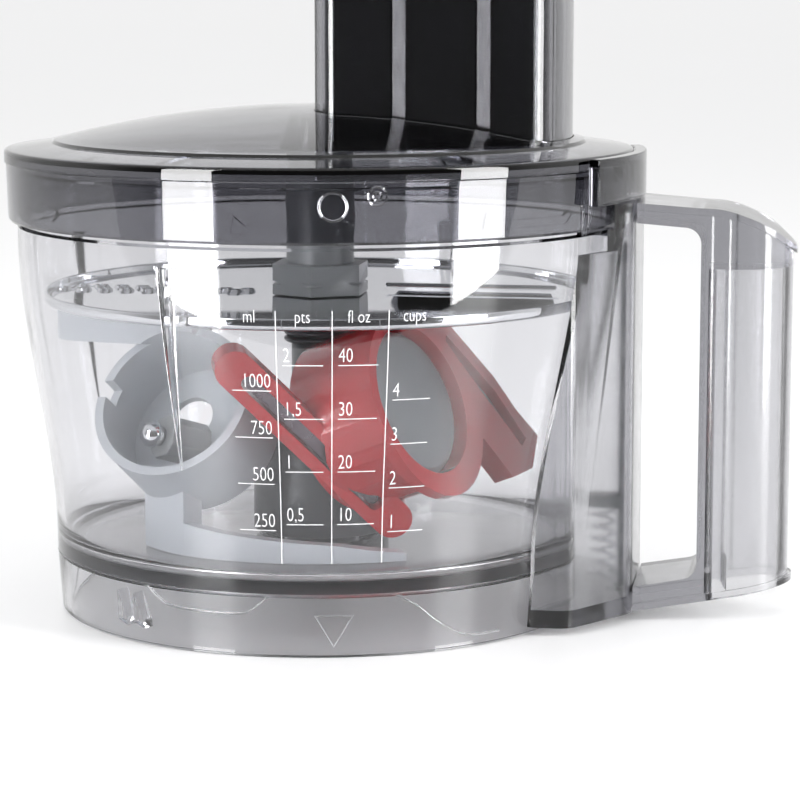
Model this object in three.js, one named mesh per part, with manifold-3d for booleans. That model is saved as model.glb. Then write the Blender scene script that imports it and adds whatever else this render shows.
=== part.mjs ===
// Bowl unit of a compact food processor: a clear bowl with a hollow handle, a twist-on lid with a
// feed chute and pusher, a drive shaft that turns a steel disc, and the loose tools stored inside.
// Millimetres, +Z up. The origin is on the bowl's axis at table level, and +X points at the handle.

import * as THREE from "three";
import { mergeVertices } from "three/addons/utils/BufferGeometryUtils.js";
import Module from "manifold-3d";

const wasm = await Module();
wasm.setup();

// ---------- Driving dimensions ----------

const seamGap = 0.3; // left between pieces that touch
const roundSegments = 48;

// Bowl
const bowlFootRadius = 82.7;
const bowlWaistRadius = 84;
const bowlRimRadius = 94.7;
const bowlHeight = 139;
const bowlWall = 2.6;
const flareStartZ = 22;
const flareDrop = 21; // the flare ends this far below the rim
const floorUnderZ = 18.8;
const floorThickness = 3;
const collarWall = 2.5;
const collarTopZ = 40;

// Drive
const axleRadius = 3.2;
const axleClearance = 0.35;
const couplingRadius = 14.3;
const couplingClearance = 1.6; // to the collar in the bowl's floor
const couplingBottomZ = 7;
const couplingTopZ = 50;
const flutes = 6;
const fluteDepth = 2;
const fluteWidth = 3.2;
const fluteHeight = 9;
const dogRadius = 7;
const dogBottomZ = 1;
const bellClearance = 0.9; // between the bell and the bowl's collar
const bellWall = 2.2;
const bellLift = 1.7; // above the bowl's floor
const bellCrown = 8; // how far the bell rises above the coupling
const shaftRadius = 9.2;
const ringWidth = 2.4;
const ringHeight = 4;
const ringDrop = 10; // from the disc down to the top of the ring
const discDepth = 41.6; // from the rim down to the underside of the disc
const discThickness = 1;
const discInset = 5.1; // from the wall at the rim to the edge of the disc
const discRimHeight = 3.6;
const hubRadius = 16;
const hubHeight = 9.6;
const sleeveRadius = 10.7;
const sleeveDrop = 2.5; // from the bush down to the sleeve
const axleDrop = 1.6; // from the top of the bush down to the end of the axle
const bladeLength = 54;
const bladeWidth = 13;
const bladeThickness = 1.2;
const bladeLift = 2.6;
const bladeStart = 5; // from the hub to the blade
const bladeSlotWidth = 4;
const graterHoleRadius = 2;
const graterHolesPerRow = 9;
const graterRows = 2;
const graterPitch = 7;
const graterHeading = 176; // degrees from the handle

// Lid
const lidClearance = 0.5; // between the skirt and the bowl's rim
const lidWall = 2.3;
const lidDraft = 1; // how much wider the skirt is at its top
const lidOverlap = 16; // how far the skirt reaches down over the rim
const lidRise = 6; // from the rim up to the lid's edge
const flangeWidth = 14.9;
const flangeRise = 2.6;
const domeRise = 10.4;
const bushWall = 2.45;
const bushDepth = 5.4; // from the top of the dome down to the top of the bush
const bushReach = 2; // how far the bush stands out below the boss
const bossFootWidth = 6.5;
const bossTopWidth = 3;
const bossDrop = 1.5; // from the lid's edge down to the foot of the boss
const lugDepth = 4; // how far the lug stands out of the skirt
const lugHeight = 14;
const lugDrop = 0.4; // from the lid's edge down to the top of the lug
const lugStart = -26; // degrees from the handle
const lugEnd = 15;
const twistDegrees = 25;

// Feed chute and pusher
const chuteInnerX = 5;
const chuteInset = 5.6; // from the edge of the dome to the chute's opening
const chuteHalfWidth = 27;
const chuteWall = 2.4;
const chuteReach = 2; // how far the chute reaches down below the lid's edge
const chuteHeight = 83;
const bossClearance = 4.5; // between the central boss and the chute's hollow side
const chuteCorner = 9;
const pusherClearance = 0.9;
const pusherWall = 2.2;
const pusherLift = 2; // from the foot of the chute up to the pusher's floor
const capOverhang = 4.5;
const capHeight = 9;

// Handle and its duct
const ductDepth = 6.3; // how far the duct stands out from the rim
const ductHalfWidth = 19;
const ductFlareHalfWidth = 43.5;
const ductFlareDepth = 14; // how far the duct's edges reach back along the bowl
const ductWall = 2.1;
const ductBottomZ = 2.5;
const lidGap = 0.6; // between the turning lid and the duct
const fingerGap = 19.8;
const gapCorner = 5;
const gripDepth = 28.7;
const gripHalfWidth = 17.5;
const gripWall = 2.4;
const lugClearance = 0.8; // between the lug and the strap
const strapSlope = 0.075;
const strapThickness = 6.2;
const gripShoulder = 10.2; // from the finger gap to where the top starts to fall away
const gripFall = 14.3;
const barRise = 0.17; // slope of the bottom bar
const barTopAtDuctZ = 10.5;
const barThickness = 7.5;

// Lid interlock
const slideThickness = 2.2;
const slideHalfWidth = 4;
const camDepth = 7; // from the foot of the skirt down to the top of the slide
const slideReach = 1; // how far the slide stands out below the duct
const slideGap = 0.4; // round the slide where it leaves the duct
const slideTravel = 5;
const camClearance = 0.8;
const footZ = 32.5;
const footHeight = 4;
const footLength = 8.5;
const springInset = 4.5; // from the slide to the middle of the spring
const springRadius = 3;
const springWire = 0.55;
const springTurns = 6;
const springSeatZ = 8;

// Kneading tool, stored tipped on its side: the cup runs from its closed end to its rim
const cupEnd = new THREE.Vector3(-32.6, -23.3, 55.2);
const cupRim = new THREE.Vector3(-38, -44, 70);
const cupRadius = 25.2;
const cupWall = 2.7;
const cupFloor = 2.6;
const paddleRadius = 59.5;
const paddleWall = 4.5;
const paddleTopZ = 35;
const paddleBottomZ = 22.2;
const paddleStart = 214; // degrees from the handle
const paddleEnd = 306;
const webEnd = 236;
const webTopZ = 46;
const armHeight = 9.5;
const armBottomZ = 85.5;

// Knife in its guard, stored tipped: the collar leans in over the drive's bell
const guardHeading = -65.22; // degrees from the handle
const guardLean = 19.86; // how far the collar reaches in over the bell
const guardDrop = 10.4; // from the disc down to the collar's back end
const collarRun = new THREE.Vector3(26, -10, 11); // from the collar's back end to its face
const guardBore = 23.4;
const guardWall = 3.6;
const armTopSide = -30; // along X from the collar's back end to the top of the long arm
const armTopReach = 13; // how far the top of the long arm stands out past the collar
const armTopRise = 1;
const armFootSide = 20;
const armFootReach = -9;
const armFootDrop = 2;
const guardArmWidth = 12;
const guardArmDepth = 8;
const knifeClearance = 0.5;
const knifeHubWall = 3;
const knifeHubStart = 12.5; // the hub stops short of the long blade below it
const knifeThickness = 1.4;
const slotWidth = 4.6;

// ---------- Sizes and places that follow ----------

const flareEndZ = bowlHeight - flareDrop;
const floorTopZ = floorUnderZ + floorThickness;
const axleBore = axleRadius + axleClearance;
const collarBoreRadius = couplingRadius + couplingClearance;
const bellRadius = collarBoreRadius + collarWall + bellClearance + bellWall;
const bellBottomZ = floorTopZ + bellLift;
const bellTopZ = couplingTopZ + bellCrown;
const ringRadius = shaftRadius + ringWidth;
const discZ = bowlHeight - discDepth; // underside of the disc
const discTopZ = discZ + discThickness;
const discRadius = bowlRimRadius - bowlWall - discInset;
const hubBottomZ = discTopZ + seamGap;
const hubTopZ = hubBottomZ + hubHeight;

const lidFootRadius = bowlRimRadius + lidClearance + lidWall;
const lidRadius = lidFootRadius + lidDraft;
const lidFootZ = bowlHeight - lidOverlap;
const lidTopZ = bowlHeight + lidRise;
const domeBaseRadius = lidFootRadius - flangeWidth;
const domeBaseZ = lidTopZ + flangeRise;
const domeTopZ = domeBaseZ + domeRise;
const bushRadius = axleBore + bushWall;
const bushTopZ = domeTopZ - bushDepth;
const bossFootRadius = bushRadius + bossFootWidth;
const bossTopRadius = bushRadius + bossTopWidth;
const bossFootZ = lidTopZ - bossDrop;
const bushBottomZ = bossFootZ - bushReach;
const sleeveTopZ = bushBottomZ - sleeveDrop;
const axleTopZ = bushTopZ - axleDrop;
const lugTopZ = lidTopZ - lugDrop;
const lugBottomZ = lugTopZ - lugHeight;

const chuteOuterRadius = domeBaseRadius - chuteInset;
const chuteBottomZ = lidTopZ - chuteReach;
const chuteTopZ = chuteBottomZ + chuteHeight;
const pusherBottomZ = chuteBottomZ + pusherLift;

const ductFaceX = bowlRimRadius + ductDepth;
const ductFlareX = bowlWaistRadius - ductFlareDepth;
const gripInnerX = ductFaceX + fingerGap;
const gripOuterX = gripInnerX + gripDepth;
const gripTopX = gripInnerX + gripShoulder;
const strapTopZ = lugBottomZ - lugClearance;
const gripTipZ = strapTopZ - gripFall;
const aboveRimZ = bowlHeight + 1;

const slideInnerX = bowlRimRadius + lidClearance + seamGap;
const slideTopZ = lidFootZ - camDepth;
const slideBottomZ = ductBottomZ - slideReach;
const footInnerX = slideInnerX - footLength;
const springX = slideInnerX - springInset;

const guardRadius = guardBore + guardWall;
const guardReach = bellRadius + guardRadius - guardLean;
const collarBack = new THREE.Vector3(guardReach, 0, discZ - guardDrop - guardRadius)
  .applyAxisAngle(new THREE.Vector3(0, 0, 1), THREE.MathUtils.degToRad(guardHeading));
const collarFace = collarBack.clone().add(collarRun);
const guardArmTop = new THREE.Vector3(armTopSide, -guardRadius - armTopReach,
  guardRadius + armTopRise).add(collarBack);
const guardArmFoot = new THREE.Vector3(armFootSide, armFootReach, -guardRadius - armFootDrop)
  .add(collarBack);

// ---------- Solids ----------

// A closed surface as a solid that can be joined and cut.
function solidOf(geometry) {
  geometry.deleteAttribute("normal");
  geometry.deleteAttribute("uv");
  const merged = mergeVertices(geometry, 1e-4);
  const corners = merged.index.array;
  const faces = [];
  for (let i = 0; i < corners.length; i += 3) {
    const [a, b, c] = [corners[i], corners[i + 1], corners[i + 2]];
    if (a !== b && b !== c && c !== a) faces.push(a, b, c);
  }
  const vertProperties = new Float32Array(merged.attributes.position.array);
  const triVerts = new Uint32Array(faces);
  return new wasm.Manifold(new wasm.Mesh({ numProp: 3, vertProperties, triVerts }));
}

function geometryOf(solid) {
  const mesh = solid.getMesh();
  const positions = new Float32Array(mesh.numVert * 3);
  for (let v = 0; v < mesh.numVert; v++) {
    for (let k = 0; k < 3; k++) positions[v * 3 + k] = mesh.vertProperties[v * mesh.numProp + k];
  }
  const geometry = new THREE.BufferGeometry();
  geometry.setAttribute("position", new THREE.BufferAttribute(positions, 3));
  geometry.setIndex(new THREE.BufferAttribute(new Uint32Array(mesh.triVerts), 1));
  geometry.computeVertexNormals();
  return geometry;
}

// A ring or a plug turned about Z from [radius, height] points that run anticlockwise.
function turned(profile, segments = roundSegments) {
  const points = profile.map(([radius, height]) => new THREE.Vector2(radius, height));
  const onAxis = profile[0][0] === 0 && profile.at(-1)[0] === 0;
  if (!onAxis) points.push(points[0].clone());
  const geometry = new THREE.LatheGeometry(points, segments);
  geometry.rotateX(Math.PI / 2);
  return solidOf(geometry);
}

const rod = (radius, bottom, top, segments = 32) =>
  turned([[0, bottom], [radius, bottom], [radius, top], [0, top]], segments);

const tube = (inner, outer, bottom, top, segments = 32) =>
  turned([[inner, bottom], [outer, bottom], [outer, top], [inner, top]], segments);

// A flat outline raised along Z.
function raised(outline, bottom, top, curveSegments = 8) {
  const shape = outline instanceof THREE.Shape ? outline : polygon(outline);
  const depth = top - bottom;
  const geometry = new THREE.ExtrudeGeometry(shape, { depth, bevelEnabled: false, curveSegments });
  geometry.translate(0, 0, bottom);
  return solidOf(geometry);
}

function polygon(points) {
  return new THREE.Shape(points.map(([x, y]) => new THREE.Vector2(x, y)));
}

// A side outline in X and Z, carried along Y between two values.
function carried(outline, fromY, toY) {
  const geometry = new THREE.ExtrudeGeometry(polygon(outline), {
    depth: toY - fromY,
    bevelEnabled: false,
  });
  geometry.rotateX(Math.PI / 2);
  geometry.translate(0, toY, 0);
  return solidOf(geometry);
}

// Part of a ring between two angles in degrees.
function ringPart(inner, outer, from, to, bottom, top) {
  const [a, b] = [THREE.MathUtils.degToRad(from), THREE.MathUtils.degToRad(to)];
  const shape = new THREE.Shape();
  shape.absarc(0, 0, outer, a, b, false);
  shape.absarc(0, 0, inner, b, a, true);
  return raised(shape, bottom, top, 16);
}

const moved = (solid, matrix) => solid.transform(matrix.elements);

const shifted = (solid, x, y, z) => moved(solid, new THREE.Matrix4().makeTranslation(x, y, z));

const spun = (solid, degrees) =>
  moved(solid, new THREE.Matrix4().makeRotationZ(THREE.MathUtils.degToRad(degrees)));

// A place whose Z axis runs from one point towards another, and whose X axis leans towards a hint.
function placeAlong(from, to, hint) {
  const z = to.clone().sub(from).normalize();
  const x = hint.clone().addScaledVector(z, -hint.dot(z)).normalize();
  const y = new THREE.Vector3().crossVectors(z, x);
  return new THREE.Matrix4().makeBasis(x, y, z).setPosition(from);
}

// ---------- Bowl ----------

// The outside radius of the bowl: straight at the foot, an S-shaped flare, straight at the rim.
function bowlRadiusAt(z) {
  if (z < floorUnderZ) return bowlFootRadius + ((bowlWaistRadius - bowlFootRadius) * z) / floorUnderZ;
  const flare = THREE.MathUtils.smoothstep(z, flareStartZ, flareEndZ);
  return bowlWaistRadius + (bowlRimRadius - bowlWaistRadius) * flare;
}

function bowlHeights(from, to, count) {
  return Array.from({ length: count + 1 }, (_, i) => from + ((to - from) * i) / count);
}

const filletRadius = 4;

function makeBowl() {
  const flareHeights = bowlHeights(flareStartZ, flareEndZ, 8);
  const outside = [0, floorUnderZ, ...flareHeights, bowlHeight].map((z) => [bowlRadiusAt(z), z]);
  const inside = [bowlHeight, ...flareHeights.slice(1).reverse(), floorTopZ + filletRadius]
    .map((z) => [bowlRadiusAt(z) - bowlWall, z]);
  const floorEdge = bowlRadiusAt(floorTopZ) - bowlWall;
  const fillet = [60, 30, 0].map((degrees) => {
    const angle = THREE.MathUtils.degToRad(degrees);
    return [
      floorEdge - filletRadius * (1 - Math.sin(angle)),
      floorTopZ + filletRadius * (1 - Math.cos(angle)),
    ];
  });
  const collarOuter = collarBoreRadius + collarWall;
  const floorAndCollar = [
    [collarOuter, floorTopZ],
    [collarOuter, collarTopZ],
    [collarBoreRadius, collarTopZ],
    [collarBoreRadius, floorUnderZ],
  ];
  const skirtInside = [
    [bowlRadiusAt(floorUnderZ) - bowlWall, floorUnderZ],
    [bowlFootRadius - bowlWall, 0],
  ];
  return turned([...outside, ...inside, ...fillet, ...floorAndCollar, ...skirtInside]);
}

// ---------- Drive ----------

function makeCoupling() {
  const body = tube(axleBore, couplingRadius, couplingBottomZ, couplingTopZ);
  const [low, high] = [couplingRadius - fluteDepth, couplingRadius + fluteDepth];
  const half = fluteWidth / 2;
  const outline = [[low, -half], [high, -half], [high, half], [low, half]];
  const flute = raised(outline, 0, couplingBottomZ + fluteHeight);
  let grooved = body;
  for (let i = 0; i < flutes; i++) grooved = grooved.subtract(spun(flute, (i * 360) / flutes));
  return grooved.add(rod(dogRadius, dogBottomZ, couplingBottomZ + 2, 6));
}

function makeShaft() {
  const bellTopInner = shaftRadius + 1;
  return turned([
    [axleBore, couplingTopZ + seamGap],
    [bellRadius - bellWall - 3, couplingTopZ + seamGap],
    [bellRadius - bellWall, couplingTopZ - 4],
    [bellRadius - bellWall, bellBottomZ],
    [bellRadius, bellBottomZ],
    [bellRadius, bellTopZ - 6],
    [bellRadius - 2, bellTopZ - 2],
    [bellTopInner + 3, bellTopZ],
    [shaftRadius, bellTopZ + 4],
    [shaftRadius, discZ - seamGap],
    [axleBore, discZ - seamGap],
  ]);
}

function makeShaftRing() {
  const top = discZ - ringDrop;
  const inner = shaftRadius + seamGap;
  return turned([
    [inner, top - ringHeight],
    [ringRadius - 0.6, top - ringHeight],
    [ringRadius, top - ringHeight + 0.8],
    [ringRadius, top - 0.8],
    [ringRadius - 0.6, top],
    [inner, top],
  ], 32);
}

function makeDisc() {
  const plate = turned([
    [axleBore + 1, discZ],
    [discRadius - 1.5, discZ],
    [discRadius, discZ + 1.2],
    [discRadius, discZ + discRimHeight],
    [discRadius - discThickness, discZ + discRimHeight],
    [discRadius - discThickness, discTopZ + 0.6],
    [discRadius - 2, discTopZ],
    [axleBore + 1, discTopZ],
  ]);
  const slotStart = hubRadius + bladeStart + 1;
  const slotEnd = slotStart + bladeLength;
  const slot = raised([[slotStart, -1 - bladeSlotWidth], [slotEnd, -1 - bladeSlotWidth],
    [slotEnd, -1], [slotStart, -1]], discZ - 1, discTopZ + 1);
  const holes = [];
  for (let row = 0; row < graterRows; row++) {
    for (let i = 0; i < graterHolesPerRow; i++) {
      const radius = hubRadius + 8 + (i + row / graterRows) * graterPitch;
      const hole = rod(graterHoleRadius, discZ - 1, discTopZ + 1, 8);
      holes.push(spun(shifted(hole, radius, 0, 0), graterHeading + row * graterPitch));
    }
  }
  return [slot, ...holes].reduce((solid, cutter) => solid.subtract(cutter), plate);
}

function makeDiscBlade() {
  const start = hubRadius + bladeStart;
  const plan = [[start, -1], [start + bladeLength, -1], [start + bladeLength - 3, bladeWidth],
    [start + 2, bladeWidth]];
  const side = [[-1, bladeLift], [-1, bladeLift + bladeThickness],
    [bladeWidth, seamGap + bladeThickness], [bladeWidth, seamGap]];
  const wedge = carried(side, 0, bladeLength + 4);
  const turnedWedge = moved(wedge, new THREE.Matrix4().makeBasis(
    new THREE.Vector3(0, 1, 0), new THREE.Vector3(1, 0, 0), new THREE.Vector3(0, 0, 1))
    .setPosition(start - 1, 0, discTopZ));
  return turnedWedge.intersect(raised(plan, discZ, discTopZ + 8));
}

function makeDiscHub() {
  const hex = rod(hubRadius, hubBottomZ, hubTopZ, 6);
  const waist = tube(hubRadius - 1.6, hubRadius + 2, hubBottomZ + 3.2, hubBottomZ + 4.2);
  const sleeve = rod(sleeveRadius, hubTopZ - 1, sleeveTopZ);
  const bore = rod(axleBore, hubBottomZ - 1, sleeveTopZ + 1);
  return hex.subtract(waist).add(sleeve).subtract(bore);
}

function makeAxle() {
  return turned([
    [0, couplingBottomZ + 4],
    [axleRadius, couplingBottomZ + 4],
    [axleRadius, axleTopZ - 1],
    [axleRadius - 1, axleTopZ],
    [0, axleTopZ],
  ], 24);
}

// ---------- Lid ----------

function domeHeight(radius, lift = 0) {
  const share = 1 - (radius / domeBaseRadius) ** 2;
  return domeBaseZ + (domeTopZ - domeBaseZ) * share - lift;
}

function makeLid() {
  const domeRadii = bowlHeights(0, domeBaseRadius, 7);
  const underside = domeRadii.map((radius) => [radius, domeHeight(radius, lidWall)]);
  const skirtInner = lidFootRadius - lidWall;
  const inside = [
    [skirtInner - 1, lidTopZ - lidWall],
    [skirtInner + 0.3, lidTopZ - lidWall - 1.5],
    [skirtInner, lidFootZ],
  ];
  const outside = [
    [lidFootRadius - 0.5, lidFootZ],
    [lidFootRadius, lidFootZ + 0.8],
    [lidRadius, lidTopZ - 3],
    [lidRadius, lidTopZ - 1],
    [lidRadius - 0.9, lidTopZ],
  ];
  const top = domeRadii.slice().reverse().map((radius) => [radius, domeHeight(radius)]);
  const shell = turned([...underside, ...inside, ...outside, ...top]);
  const hole = chuteSolid(chuteWall + seamGap, lidFootZ, domeTopZ + 5);
  return shell.subtract(hole).add(makeCam());
}

// The tab under the skirt that holds the interlock slide down while the lid is locked. Its
// underside climbs away from the slide as the lid turns.
function makeCam() {
  const halfSpan = THREE.MathUtils.radToDeg(slideHalfWidth / slideInnerX) + 0.6;
  const bottom = slideTopZ + camClearance / 2;
  const band = ringPart(lidFootRadius - lidWall, lidFootRadius - 0.5,
    -twistDegrees - halfSpan, halfSpan, bottom, lidFootZ + 0.5);
  const reach = slideInnerX * Math.sin(THREE.MathUtils.degToRad(twistDegrees));
  const climb = slideTravel / reach;
  const startZ = slideTopZ + camClearance;
  const slopeAt = (y) => startZ - climb * y;
  const [nearY, farY] = [15, -reach - 10];
  const wedge = [[nearY, bottom - 20], [nearY, slopeAt(nearY)], [farY, slopeAt(farY)],
    [farY, bottom - 20]];
  const cutter = carriedAlongX(wedge, 60, 120);
  return band.subtract(cutter);
}

// A side outline in Y and Z, carried along X between two values.
function carriedAlongX(outline, fromX, toX) {
  return spun(carried(outline, fromX, toX), -90).mirror([0, 1, 0]);
}

function makeLug() {
  const inner = lidRadius + seamGap;
  const outer = lidRadius + lugDepth;
  const block = ringPart(inner, outer, lugStart, lugEnd, lugBottomZ, lugTopZ);
  const pocket = ringPart(inner - 1, outer - 1.6, lugStart + 2, lugEnd - 2, lugBottomZ - 1,
    lidTopZ - 3);
  return block.subtract(pocket);
}

function makeBoss() {
  const top = domeHeight(bossTopRadius, lidWall) - seamGap;
  return turned([
    [bushRadius + seamGap, bossFootZ],
    [bossFootRadius, bossFootZ],
    [bossFootRadius, bossFootZ + 2],
    [bossTopRadius, top],
    [bushRadius + seamGap, top],
  ], 32);
}

function makeBush() {
  return tube(axleBore, bushRadius, bushBottomZ, bushTopZ, 32);
}

// ---------- Feed chute and pusher ----------

// The chute's opening: straight sides, an outer side that follows the lid's rim, rounded corners
// and a hollow inner side that passes round the central boss. A positive grow makes it larger.
function chuteShape(grow) {
  const halfWidth = chuteHalfWidth + grow;
  const innerX = chuteInnerX - grow;
  const boss = bossFootRadius + bossClearance + chuteWall - grow;
  const tip = chuteTipRadius(halfWidth, innerX, boss);
  const bossAngle = Math.acos((innerX + tip) / boss);
  const shape = outerSide(grow);
  shape.absarc(innerX + tip, halfWidth - tip, tip, Math.PI / 2, Math.PI * 1.5, false);
  shape.absarc(0, 0, boss, bossAngle, -bossAngle, true);
  shape.absarc(innerX + tip, tip - halfWidth, tip, Math.PI / 2, Math.PI * 1.5, false);
  return shape;
}

// The radius of the round ends whose inner side lands on the circle round the boss.
function chuteTipRadius(halfWidth, innerX, boss) {
  const b = 4 * halfWidth - 2 * innerX;
  const c = innerX ** 2 + halfWidth ** 2 - boss ** 2;
  return (b - Math.sqrt(b * b - 20 * c)) / 10;
}

// The lower corner, the side along the lid's rim and the upper corner, drawn anticlockwise.
function outerSide(grow) {
  const corner = chuteCorner + grow;
  const cornerY = chuteHalfWidth - chuteCorner;
  const outer = chuteOuterRadius + grow;
  const angle = Math.asin(cornerY / (outer - corner));
  const cornerX = (outer - corner) * Math.cos(angle);
  const shape = new THREE.Shape();
  shape.absarc(cornerX, -cornerY, corner, -Math.PI / 2, -angle, false);
  shape.absarc(0, 0, outer, -angle, angle, false);
  shape.absarc(cornerX, cornerY, corner, angle, Math.PI / 2, false);
  return shape;
}

// The cap's outline has the same outer side and a straight inner side.
function capShape(grow) {
  const corner = chuteCorner + grow;
  const centreX = chuteInnerX + chuteCorner;
  const centreY = chuteHalfWidth - chuteCorner;
  const shape = outerSide(grow);
  shape.absarc(centreX, centreY, corner, Math.PI / 2, Math.PI, false);
  shape.absarc(centreX, -centreY, corner, Math.PI, Math.PI * 1.5, false);
  return shape;
}

function chuteSolid(grow, bottom, top) {
  return raised(chuteShape(grow), bottom, top, 6);
}

function makeChute() {
  return chuteSolid(chuteWall, chuteBottomZ, chuteTopZ)
    .subtract(chuteSolid(0, chuteBottomZ - 1, chuteTopZ + 1));
}

function makePusher() {
  const inside = -pusherClearance - pusherWall;
  return chuteSolid(-pusherClearance, pusherBottomZ, chuteTopZ + seamGap)
    .subtract(chuteSolid(inside, pusherBottomZ + pusherWall, chuteTopZ + 1));
}

function makePusherCap() {
  const bottom = chuteTopZ + 2 * seamGap;
  const rim = raised(capShape(chuteWall + capOverhang), bottom, bottom + capHeight, 6);
  const hollow = chuteSolid(-pusherClearance - pusherWall, bottom - 1, bottom + capHeight + 1);
  return rim.subtract(hollow);
}

// ---------- Handle ----------

function ductOutline(inset) {
  const face = ductFaceX - inset;
  const half = ductHalfWidth - inset * 0.7;
  const flare = ductFlareHalfWidth - inset;
  return [[ductFlareX, -flare], [bowlWaistRadius, -flare], [face, -half], [face, half],
    [bowlWaistRadius, flare], [ductFlareX, flare]];
}

// The duct stands against the bowl's outside and carries the interlock slide. Its shoulders pass
// round the lid's skirt to meet the strap of the handle.
function makeDuct() {
  const shell = raised(ductOutline(0), ductBottomZ, strapTopZ);
  const hollow = raised(ductOutline(ductWall), springSeatZ - seamGap, strapTopZ - 3);
  const seamRadii = bowlHeights(ductBottomZ - 1, flareEndZ + 4, 12)
    .map((z) => [bowlRadiusAt(z) + seamGap, z]);
  const bowlRoom = turned([[0, ductBottomZ - 1], ...seamRadii, [bowlRimRadius + seamGap, aboveRimZ],
    [0, aboveRimZ]], 64);
  const camRoom = rod(lidFootRadius + lidGap, slideTopZ - 0.2, aboveRimZ, 64);
  const lidRoom = rod(lidRadius + lidGap, lidFootZ - lidGap, aboveRimZ, 64);
  const slideRoom = raised(slideOutline(slideGap), 0, springSeatZ + 1);
  return [hollow, bowlRoom, camRoom, lidRoom, slideRoom]
    .reduce((solid, cutter) => solid.subtract(cutter), shell);
}

function slideOutline(grow) {
  const [low, high] = [slideInnerX - grow, slideInnerX + slideThickness + grow];
  const half = slideHalfWidth + grow;
  return [[low, -half], [high, -half], [high, half], [low, half]];
}

const strapZAt = (x) => strapTopZ - strapSlope * (x - ductFaceX);
const barTopAt = (x) => barTopAtDuctZ + barRise * (x - ductFaceX);

function makeHandle() {
  const start = ductFaceX + seamGap;
  const frame = carried([
    [start, barTopAt(start) - barThickness],
    [gripOuterX, barTopAt(gripOuterX) - barThickness],
    [gripOuterX, gripTipZ],
    [gripOuterX - 5, gripTipZ + 6],
    [gripTopX, strapZAt(gripTopX)],
    [start, strapZAt(start)],
  ], -60, 60);
  const gap = carried([
    [start - 1, barTopAt(start - 1)],
    [gripInnerX - gapCorner, barTopAt(gripInnerX - gapCorner)],
    [gripInnerX, barTopAt(gripInnerX) + gapCorner],
    [gripInnerX, strapZAt(gripInnerX) - strapThickness - gapCorner],
    [gripInnerX - gapCorner, strapZAt(gripInnerX - gapCorner) - strapThickness],
    [start - 1, strapZAt(start - 1) - strapThickness],
  ], -60, 60);
  const plan = raised(handlePlan(0), -5, aboveRimZ, 10);
  const core = raised(handlePlan(gripWall), -5, gripTipZ - 6, 10)
    .intersect(raised([[gripInnerX + gripWall, -60], [200, -60], [200, 60],
      [gripInnerX + gripWall, 60]], -5, aboveRimZ));
  return frame.intersect(plan).subtract(gap).subtract(core);
}

// The handle from above: parallel sides that draw in to a rounded point.
function handlePlan(inset) {
  const half = gripHalfWidth - inset;
  const root = ductHalfWidth - inset;
  const tip = gripOuterX - inset;
  const shape = new THREE.Shape();
  shape.moveTo(ductFaceX, -root);
  shape.lineTo(gripTopX, -half);
  shape.bezierCurveTo(gripTopX + 9, -half, tip, -9, tip, 0);
  shape.bezierCurveTo(tip, 9, gripTopX + 9, half, gripTopX, half);
  shape.lineTo(ductFaceX, root);
  shape.closePath();
  return shape;
}

// ---------- Lid interlock ----------

function makeSlide() {
  const bar = raised(slideOutline(0), slideBottomZ, slideTopZ);
  const foot = raised([[footInnerX, -slideHalfWidth], [slideInnerX + 1, -slideHalfWidth],
    [slideInnerX + 1, slideHalfWidth], [footInnerX, slideHalfWidth]], footZ, footZ + footHeight);
  return bar.add(foot);
}

class SpringLine extends THREE.Curve {
  getPoint(share, target = new THREE.Vector3()) {
    const angle = share * springTurns * 2 * Math.PI;
    const low = springSeatZ + seamGap + springWire;
    const high = footZ - seamGap - springWire;
    return target.set(springX + springRadius * Math.cos(angle), springRadius * Math.sin(angle),
      low + (high - low) * share);
  }
}

function makeSpring() {
  const section = new THREE.Shape();
  section.absarc(0, 0, springWire, 0, 2 * Math.PI, false);
  return solidOf(new THREE.ExtrudeGeometry(section, {
    steps: springTurns * 10,
    curveSegments: 3,
    bevelEnabled: false,
    extrudePath: new SpringLine(),
  }));
}

// ---------- Kneading tool ----------

const cupPlace = placeAlong(cupEnd, cupRim, new THREE.Vector3(1, 0, 0));
const cupLength = cupEnd.distanceTo(cupRim);

function makeKneadingTool() {
  const cup = moved(rod(cupRadius, 0, cupLength, roundSegments), cupPlace);
  const inside = moved(rod(cupRadius - cupWall, cupFloor, cupLength + 30, roundSegments), cupPlace);
  const floorHole = moved(shifted(rod(7, -5, cupFloor + 5, 24), -4, 6, 0), cupPlace);
  const notch = moved(raised([[-cupRadius - 2, 3], [-cupRadius + 6, 3], [-cupRadius + 6, 8.5],
    [-cupRadius - 2, 8.5]], cupLength - 7, cupLength + 2), cupPlace);
  const paddleInner = paddleRadius - paddleWall;
  const paddle = ringPart(paddleInner, paddleRadius, paddleStart, paddleEnd, paddleBottomZ,
    paddleTopZ);
  const web = ringPart(paddleInner - 3, paddleRadius, paddleStart, webEnd, paddleBottomZ + 2,
    webTopZ);
  const arm = raised([[-34, -33], [-30, -25], [-55, -19], [-74, -14], [-80, -17], [-79, -24],
    [-72, -29], [-52, -33]], armBottomZ, armBottomZ + armHeight);
  return cup.add(paddle).add(web).add(arm).subtract(inside).subtract(floorHole).subtract(notch);
}

const postStart = [5, -6];
const postEnd = [-8, -9];
const postHalf = 6.3;
const postLift = 4.6; // keeps the post's tilted end clear of the cup's floor
const postLength = 14;

function postPlace() {
  const from = new THREE.Vector3(...postStart, cupFloor + 0.6).applyMatrix4(cupPlace);
  const to = new THREE.Vector3(...postEnd, cupLength - 3).applyMatrix4(cupPlace);
  return placeAlong(from, to, new THREE.Vector3(1, 0, 0));
}

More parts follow.
